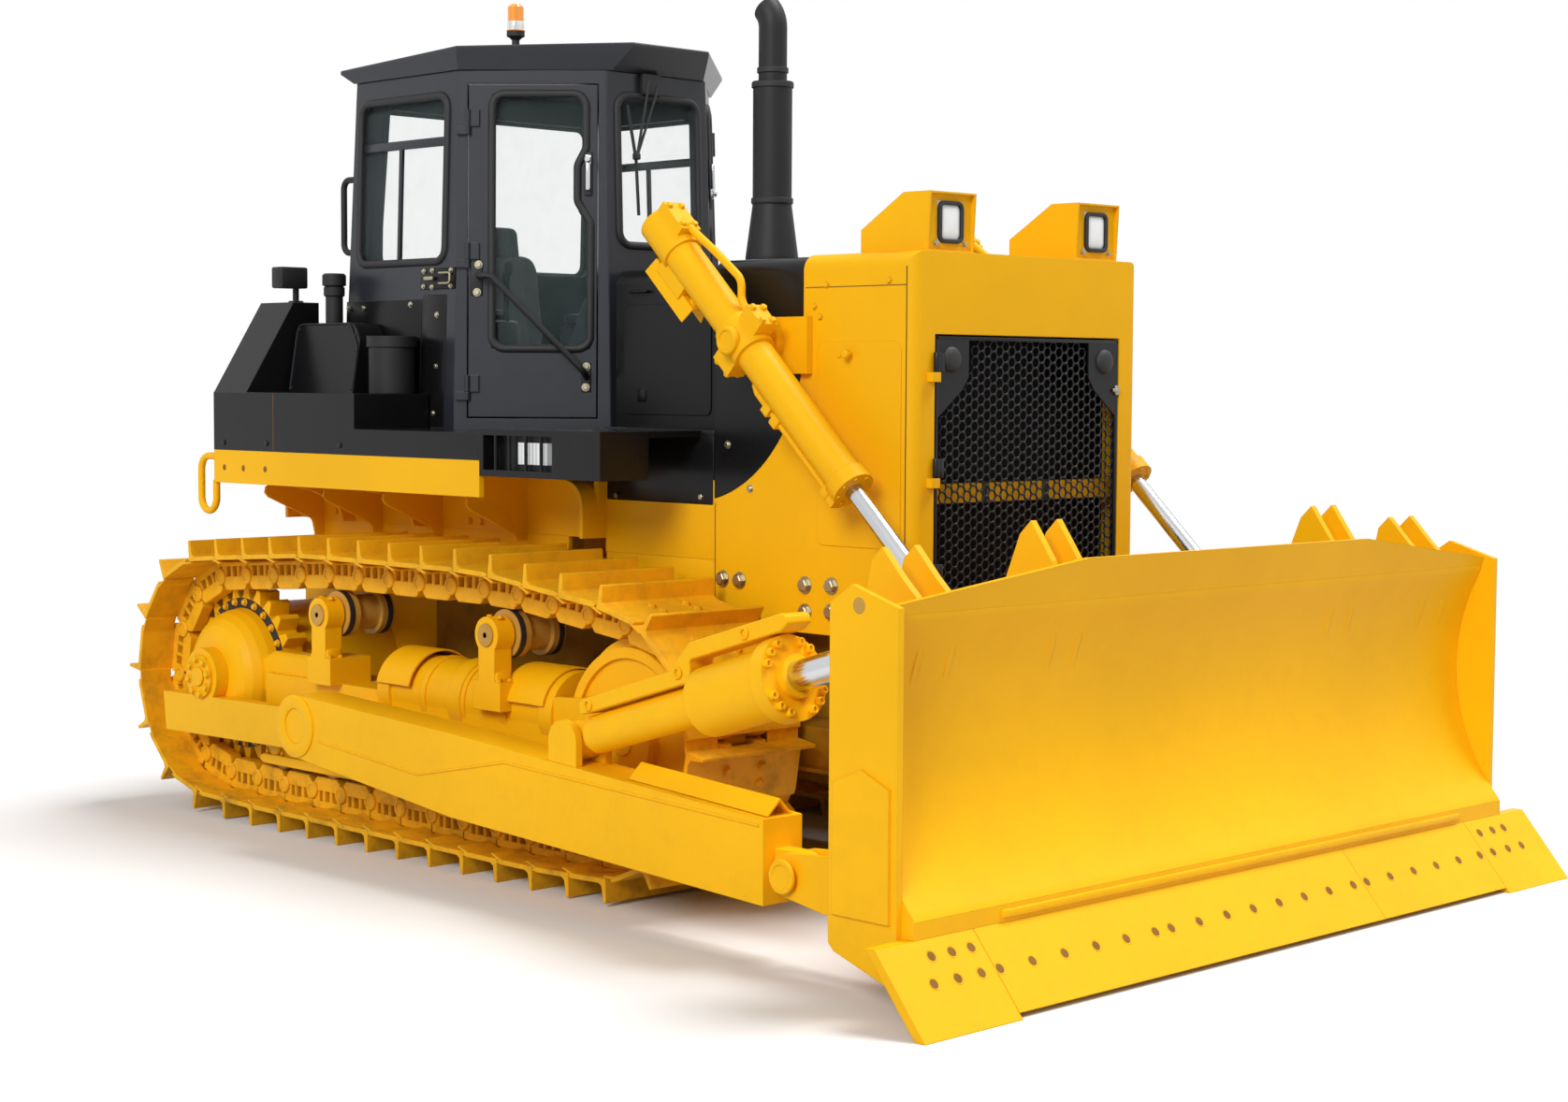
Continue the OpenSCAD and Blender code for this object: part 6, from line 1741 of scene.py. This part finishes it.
@dataclass(frozen=True)
class TiltGear:
    """Cover plate and bolts of the tilt cylinder.

    Attributes:
        pin: Place of the rear pin in x and z.
        out: Distance from the centre plane.
        angle: Climb in degrees.
        flange: Distance of the flange's face from the pin.
        bolt_r: Radius of the flange's bolt circle.
    """

    pin: tuple = (2808, 640)
    out: float = 1430
    angle: float = 16.25
    flange: float = 1140
    bolt_r: float = 126

    def build(self, shop: Workshop) -> None:
        """Makes the stepped cover, its rings and the flange bolts in four groups of three.

        Args:
            shop: Where pieces are made.
        """
        cover = fillet([(96, 76), (700, 76), (716, 150), (1176, 150), (1216, 168), (1216, 196), (1190, 208),
                        (730, 208), (600, 132), (112, 128), (96, 118)], 12, 3)
        shape = side_plate(cover, -58, 58, 4)
        for x, z in ((1010, 180), (650, 118), (150, 102)):
            ring = on_side(circle(17, 16) + (x, z), -62)
            shape.add(sweep(ring, circle(5, 8), (0, 1, 0), closed=True))
        turn = np.concatenate([np.radians([m - 20, m, m + 20]) for m in (45, 135, 225, 315)])
        spots = np.column_stack([np.full(12, self.flange), self.bolt_r * np.cos(turn),
                                 self.bolt_r * np.sin(turn)])
        shape.add(socket_bolt(15, 20).copies(spots, axes_on((1, 0, 0))))
        placed = shape.placed((self.pin[0], -self.out, self.pin[1]), pitched(self.angle))
        shop.piece("tilt_cover", placed, Finish.YELLOW, "tilt_barrel")


@dataclass(frozen=True)
class PushArms:
    """Deflectors, beads and pin ends of the push arms.

    Attributes:
        middle: Middle of an arm from the centre plane.
        outer: Outer face of an arm.
    """

    middle: float = 1430
    outer: float = 1520

    def build(self, shop: Workshop) -> None:
        """Makes the ridged deflector, the weld bead and the pin ends of both arms.

        Args:
            shop: Where pieces are made.
        """
        out = axes_on((0, 1, 0))
        ridge = [(-58, 0), (0, 56), (58, 0), (48, 0), (0, 45), (-48, 0)]
        shape = sweep(on_side([(3139, 541), (3839, 496)], self.middle), np.array(ridge)[::-1], (0, 0, 1))
        bead = on_side([(1286, 482), (1948, 425), (2481, 530), (3835, 470)], self.outer)
        shape.add(tube(bead, 6, 60, 8))
        boss = lathe([(128, -2), (128, 6), (120, 10), (78, 10), (72, 6), (70, -2)], 40)
        shape.add(boss.placed((1119, self.outer, 527), out))
        shop.pair("push_arm_trim", shape, Finish.YELLOW, "push_arms")
        cap = lathe([(0, 0), (30, 0), (34, 0), (36, 3), (38, 0), (58, 0), (58, 8), (54, 12), (40, 12),
                     (37, 8), (0, 8)], 28)
        shop.pair("blade_pin_caps", cap.placed((3948, self.outer, 316), out), Finish.YELLOW, "blade")


@dataclass(frozen=True)
class Undercarriage:
    """Bolts, bands and strips of drives, rollers and track frames.

    Attributes:
        middle: Distance of the track frame's middle from the centre plane.
        hub_out: Outer face of the sprocket hub.
        sprocket_z: Height of the sprocket axis.
        carriers: Places of the carrier rollers.
        carrier_z: Height of the carrier rollers.
        rollers: Places of the track rollers.
        roller_z: Height of the track rollers.
        guard: Outer face of the roller guard.
        tube_z: Height of the recoil tube's axis.
        collars: Places of the bands round the recoil tube.
    """

    middle: float = 1000
    hub_out: float = 1284
    sprocket_z: float = 615
    carriers: tuple = (820, 1970)
    carrier_z: float = 940
    rollers: tuple = (400, 782, 1164, 1546, 1928, 2310)
    roller_z: float = 340
    guard: float = 1145
    tube_z: float = 650
    collars: tuple = (1230, 1480, 1740, 2000, 2270)

    def pedestals(self) -> Shape:
        """Hub bolts of the drive, and bolts, caps and feet of the carrier rollers' posts.

        Returns:
            The pieces of the left side.
        """
        out = axes_on((0, 1, 0))
        shape = hex_bolt(16, 14).copies(on_side(circle(78, 8, 0.2) + (0, self.sprocket_z), self.hub_out), out)
        cover = lathe([(0, 0), (40, 0), (44, 6), (40, 12), (0, 14)], 24)
        shape.add(cover.placed((0, self.hub_out, self.sprocket_z), out))
        cap = lathe([(0, 0), (15, 0), (15, 5), (11, 8), (0, 8)], 16)
        for x in self.carriers:
            feet = [(x + dx, y, 760) for dx in (-58, 58) for y in (1138, 1192)]
            shape.add(hex_bolt(12, 10).copies(feet))
            tops = [(x + dx, 1165, 1004) for dx in (-34, 34)]
            shape.add(hex_bolt(11, 10).copies(tops))
            shape.add(cap.placed((x, 1207, self.carrier_z), out))
            shape.add(block((x - 62, 1126, 756), (x + 62, 1204, 800), 14))
        return shape

    def frame(self) -> Shape:
        """Strip and roller caps of the guard, bands and covers of the recoil tube, and the rear casting.

        Returns:
            The pieces of the left side.
        """
        out = axes_on((0, 1, 0))
        shape = side_plate([(330, 256), (2360, 256), (2390, 268), (2390, 286), (2360, 298), (330, 298),
                            (300, 286), (300, 268)], self.guard, self.guard + 21, 3)
        cap = lathe([(0, 0), (46, 0), (46, 10), (38, 16), (0, 16)], 20)
        for x in self.rollers:
            spots = [(x + dx, self.roller_z + dz) for dx in (-58, 58) for dz in (-30, 30)]
            shape.add(cap.placed((x, self.guard, self.roller_z), out))
            shape.add(hex_bolt(11, 10).copies(on_side(spots, self.guard), out))
        band = lathe([(149, -18), (157, -18), (158, -15), (158, 15), (157, 18), (149, 18)], 40)
        spots = [(x, self.middle, self.tube_z) for x in self.collars]
        shape.add(band.copies(spots, axes_on((1, 0, 0))))
        arc = np.radians(np.linspace(12, 168, 24))
        for x, wide, radius in ((1300, 110, 174), (2140, 130, 172)):
            path = np.column_stack([np.full(24, x), self.middle + radius * np.cos(arc),
                                    self.tube_z + radius * np.sin(arc)])
            shape.add(sweep(path, np.array([(-4, -wide), (4, -wide), (4, wide), (-4, wide)]), (1, 0, 0)))
        casting = fillet([(180, 556), (200, 690), (330, 742), (640, 742), (722, 690), (722, 556)], 40)
        return shape.add(side_plate(casting, 1030, 1118, 14))

    def build(self, shop: Workshop) -> None:
        """Makes the trim of both sides, the dark bands of carriers and drive, and the sprocket's bolts.

        Args:
            shop: Where pieces are made.
        """
        out = axes_on((0, 1, 0))
        shop.pair("track_frame_trim", self.pedestals().add(self.frame()), Finish.YELLOW)
        ring = lathe([(70, 0), (97.5, 0), (97.5, 26), (70, 26)], 36)
        bands = Shape()
        for x in self.carriers:
            bands.add(*(ring.placed((x, y, self.carrier_z), out) for y in (1084, 892)))
        rim = lathe([(292, 0), (336, 0), (336, 4), (292, 4)], 72).placed((0, 1050, self.sprocket_z), out)
        shop.pair("roller_bands", bands.add(rim), Finish.RUBBER)
        spots = on_side(circle(318, 25) + (0, self.sprocket_z), 1055)
        shop.pair("sprocket_bolts", hex_bolt(13, 12).copies(spots, out), Finish.TRACK)


@dataclass(frozen=True)
class Platform:
    """Fender bolts, skirts, tow loops, rear work lamp, filler neck and tank cover.

    Attributes:
        web: Outer face of a fender's web.
        outer: Outer face of a fender.
        web_bolts: Places of the web's bolts in x and z.
        loop: Corners of a tow loop in x and z.
        loop_y: Distance of a tow loop from the centre plane.
        tank_back: Distance of the tank cover's face behind the sprocket axis.
    """

    web: float = 690
    outer: float = 1150
    web_bolts: tuple = ((82, 1340), (208, 1340), (439, 1340), (1189, 1430), (1271, 1430), (1189, 1335),
                        (1271, 1335), (84, 1444), (440, 1449), (497, 1438), (576, 1440), (947, 1447),
                        (1333, 1414), (1517, 1417))
    loop: tuple = ((-70, 1585), (-208, 1585), (-208, 1340), (-84, 1340), (-84, 1480))
    loop_y: float = 1132
    tank_back: float = 508

    def fenders(self, shop: Workshop) -> None:
        """Makes the bolts, tow loops, skirts with their fins, and side panels below the hood.

        Args:
            shop: Where pieces are made.
        """
        shape = hex_bolt(14, 12).copies(on_side(self.web_bolts, self.web), axes_on((0, 1, 0)))
        shop.pair("fender_trim", shape.add(tube(on_side(self.loop, self.loop_y), 16, 62)), Finish.YELLOW)
        web_line = fillet([(70, 1400), (70, 1120), (1840, 1120), (1840, 1400)], 20, 3)
        skirt = side_plate(web_line, self.web - 26, self.web - 2, 2)
        fin = fillet([(self.web - 4, 1130), (self.web + 22, 1130), (self.web + 60, 1300), (1110, 1462),
                      (self.web - 4, 1462)], 30, 3)
        for x in (90, 545, 985, 1560):
            skirt.add(prism(fin, x, x + 14, 2).placed((0, 0, 0), YZ))
        skirt.add(block((2020, 613, 1110), (2656, 639, 1252), 4))
        shop.pair("fender_skirt", skirt, Finish.YELLOW)
        panel = block((2022, 612, 1452), (2656, 642, 1744), 8)
        panel.add(block((1860, 322, 1716), (2656, 640, 1742), 6))
        shop.pair("engine_side_panel", panel, Finish.BLACK)

    def boxes(self, shop: Workshop) -> None:
        """Makes the studs of the fender boxes, a dark seam and dark discs of painted shade in their holes,
        and the filler neck, lamp and rim on the right one.

        Args:
            shop: Where pieces are made.
        """
        out = axes_on((0, 1, 0))
        holes = on_side([(x, 1538) for x in (10, 163, 336)], self.outer)
        # The dark discs in the holes are painted shade.
        dark = lathe([(0, 0.6), (13, 0.6), (14, 0)], 18).copies(holes, out)
        shop.pair("fender_seam_and_hole_shade", dark.add(seam((400, 1620), (403, 1868), self.outer)), Finish.SHADOW)
        heads = on_side([(7, 1648), (347, 1650), (901, 1654)], self.outer)
        stud = lathe([(0, 0), (13, 0), (12, 5), (6, 7), (0, 7)], 16)
        shop.pair("box_studs", stud.copies(heads, out), Finish.STACK)
        rim = fillet([(214, 930, 1880), (214, 884, 2168), (612, 884, 2168), (688, 900, 2070),
                      (688, 930, 1880)], 40, closed=False)
        lip = sweep(rim, fillet([(-4, -14), (4, -14), (4, 14), (-4, 14)], 2, 1), (0, 0.98, 0.2))
        edge = [(224, 1890), (224, 2150), (600, 2156), (664, 2120), (680, 2060), (680, 1890)]
        studs = np.array([(x, 936 - (z - 1880) * 0.17, z) for x, z in edge])
        lip.add(lathe([(0, 0), (8, 0), (8, 6), (0, 7)], 8).copies(studs, out))
        neck = lathe([(38, 2160), (38, 2290), (46, 2296), (46, 2330), (40, 2336), (52, 2340), (52, 2384),
                      (44, 2392), (0, 2392)], 24).placed((400, 830, 0))
        lamp = block((86, 812, 2332), (172, 950, 2426), 8)
        lamp.add(tube([(130, 850, 2266), (130, 850, 2340)], 14), block((104, 826, 2264), (156, 874, 2278), 4))
        shop.piece("filler_and_lamp", Shape().add(neck, lamp, lip).mirrored(), Finish.STACK)

    def tank(self, shop: Workshop) -> None:
        """Makes the fuel tank's rear cover, cap and level tube.

        Args:
            shop: Where pieces are made.
        """
        rearward = np.array([(0, 1.0, 0), (0, 0, 1.0), (-1.0, 0, 0)])
        outline = fillet([(-430, 1570), (430, 1570), (430, 2040), (-430, 2040)], 60)
        cover = prism(outline, self.tank_back - 10, self.tank_back, 3).placed((0, 0, 0), rearward)
        cap = lathe([(0, 0), (58, 0), (58, 10), (50, 14), (50, 44), (44, 50), (0, 50)], 28)
        cover.add(cap.placed((-260, 380, 2138)))
        cover.add(tube([(-496, 520, 1620), (-520, 520, 1620), (-520, 520, 2020), (-496, 520, 2020)], 9, 16))
        shop.piece("tank_cover", cover, Finish.BLACK)
        spots = [(-self.tank_back, y, z) for y in (-390, -130, 130, 390) for z in (1610, 2000)]
        spots += [(-self.tank_back, y, 1805) for y in (-400, 400)]
        bolts = hex_bolt(13, 10).copies(spots, axes_on((-1, 0, 0)))
        shop.piece("tank_bolts", bolts, Finish.ZINC)

    def build(self, shop: Workshop) -> None:
        """Makes the platform's trim.

        Args:
            shop: Where pieces are made.
        """
        self.fenders(shop)
        self.boxes(shop)
        self.tank(shop)
        lens = block((80, 822, 2340), (88, 940, 2418), 5)
        # The lens's emission is a painted highlight.
        shop.piece("work_lamp_lens", lens.mirrored(), Finish.LAMP)


@dataclass(frozen=True)
class Beacon:
    """Black foot and pale collar of the roof beacon, and the bands of the exhaust stack.

    Attributes:
        spot: Place of its axis in x and y.
        low: Height of the foot's underside.
        stack_x: Place of the exhaust stack.
        stack_bands: Radius and height of the stack's bands.
    """

    spot: tuple = (820, -150)
    low: float = 3444
    stack_x: float = 2306
    stack_bands: tuple = ((109, 2404), (81, 2664), (81, 3130), (59, 3190))

    def build(self, shop: Workshop) -> None:
        """Makes the foot with its clamp knob, the stack's bands, and the collar under the dome.

        Args:
            shop: Where pieces are made.
        """
        x, y = self.spot
        place = (x, y, self.low)
        foot = lathe([(0, -138), (37, -138), (37, -122), (17, -114), (17, -12), (30, 0), (40, 4), (40, 26),
                      (36, 30), (0, 30)], 28).placed(place)
        foot.add(tube([(x, y, 3400), (x, y - 46, 3400)], 9))
        for radius, z in self.stack_bands:
            band = lathe([(radius - 1, -12), (radius + 5, -10), (radius + 5, 10), (radius - 1, 12)], 32)
            foot.add(band.placed((self.stack_x, 0, z)))
        shop.piece("beacon_foot", foot, Finish.RUBBER)
        # The collar wears lamp glass, whose emission is a painted highlight.
        collar = lathe([(36.2, 30), (38, 32), (38, 66), (36.2, 70)], 28).placed(place)
        shop.piece("beacon_collar", collar, Finish.LAMP)


def main() -> None:
    """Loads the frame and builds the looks."""
    logging.basicConfig(level=logging.INFO, format="%(name)s: %(message)s")
    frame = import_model()
    cad_box = [list(corner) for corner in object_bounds()]
    Studio().build()
    finishes = FinishLibrary()
    dress_frame(frame["nodes"], frame["record"], finishes)
    shop = Workshop(finishes, cad_box[0][0] + DRAWBAR_REACH * MM)
    for part in (TrackRun(), Grille(), Cab(), Seat(), Headlamps(), Guard(), Blade(), LiftGear(), TiltGear(),
                 PushArms(), Undercarriage(), Platform(), Beacon()):
        part.build(shop)
    bpy.context.view_layer.update()


if __name__ == "__main__":
    main()
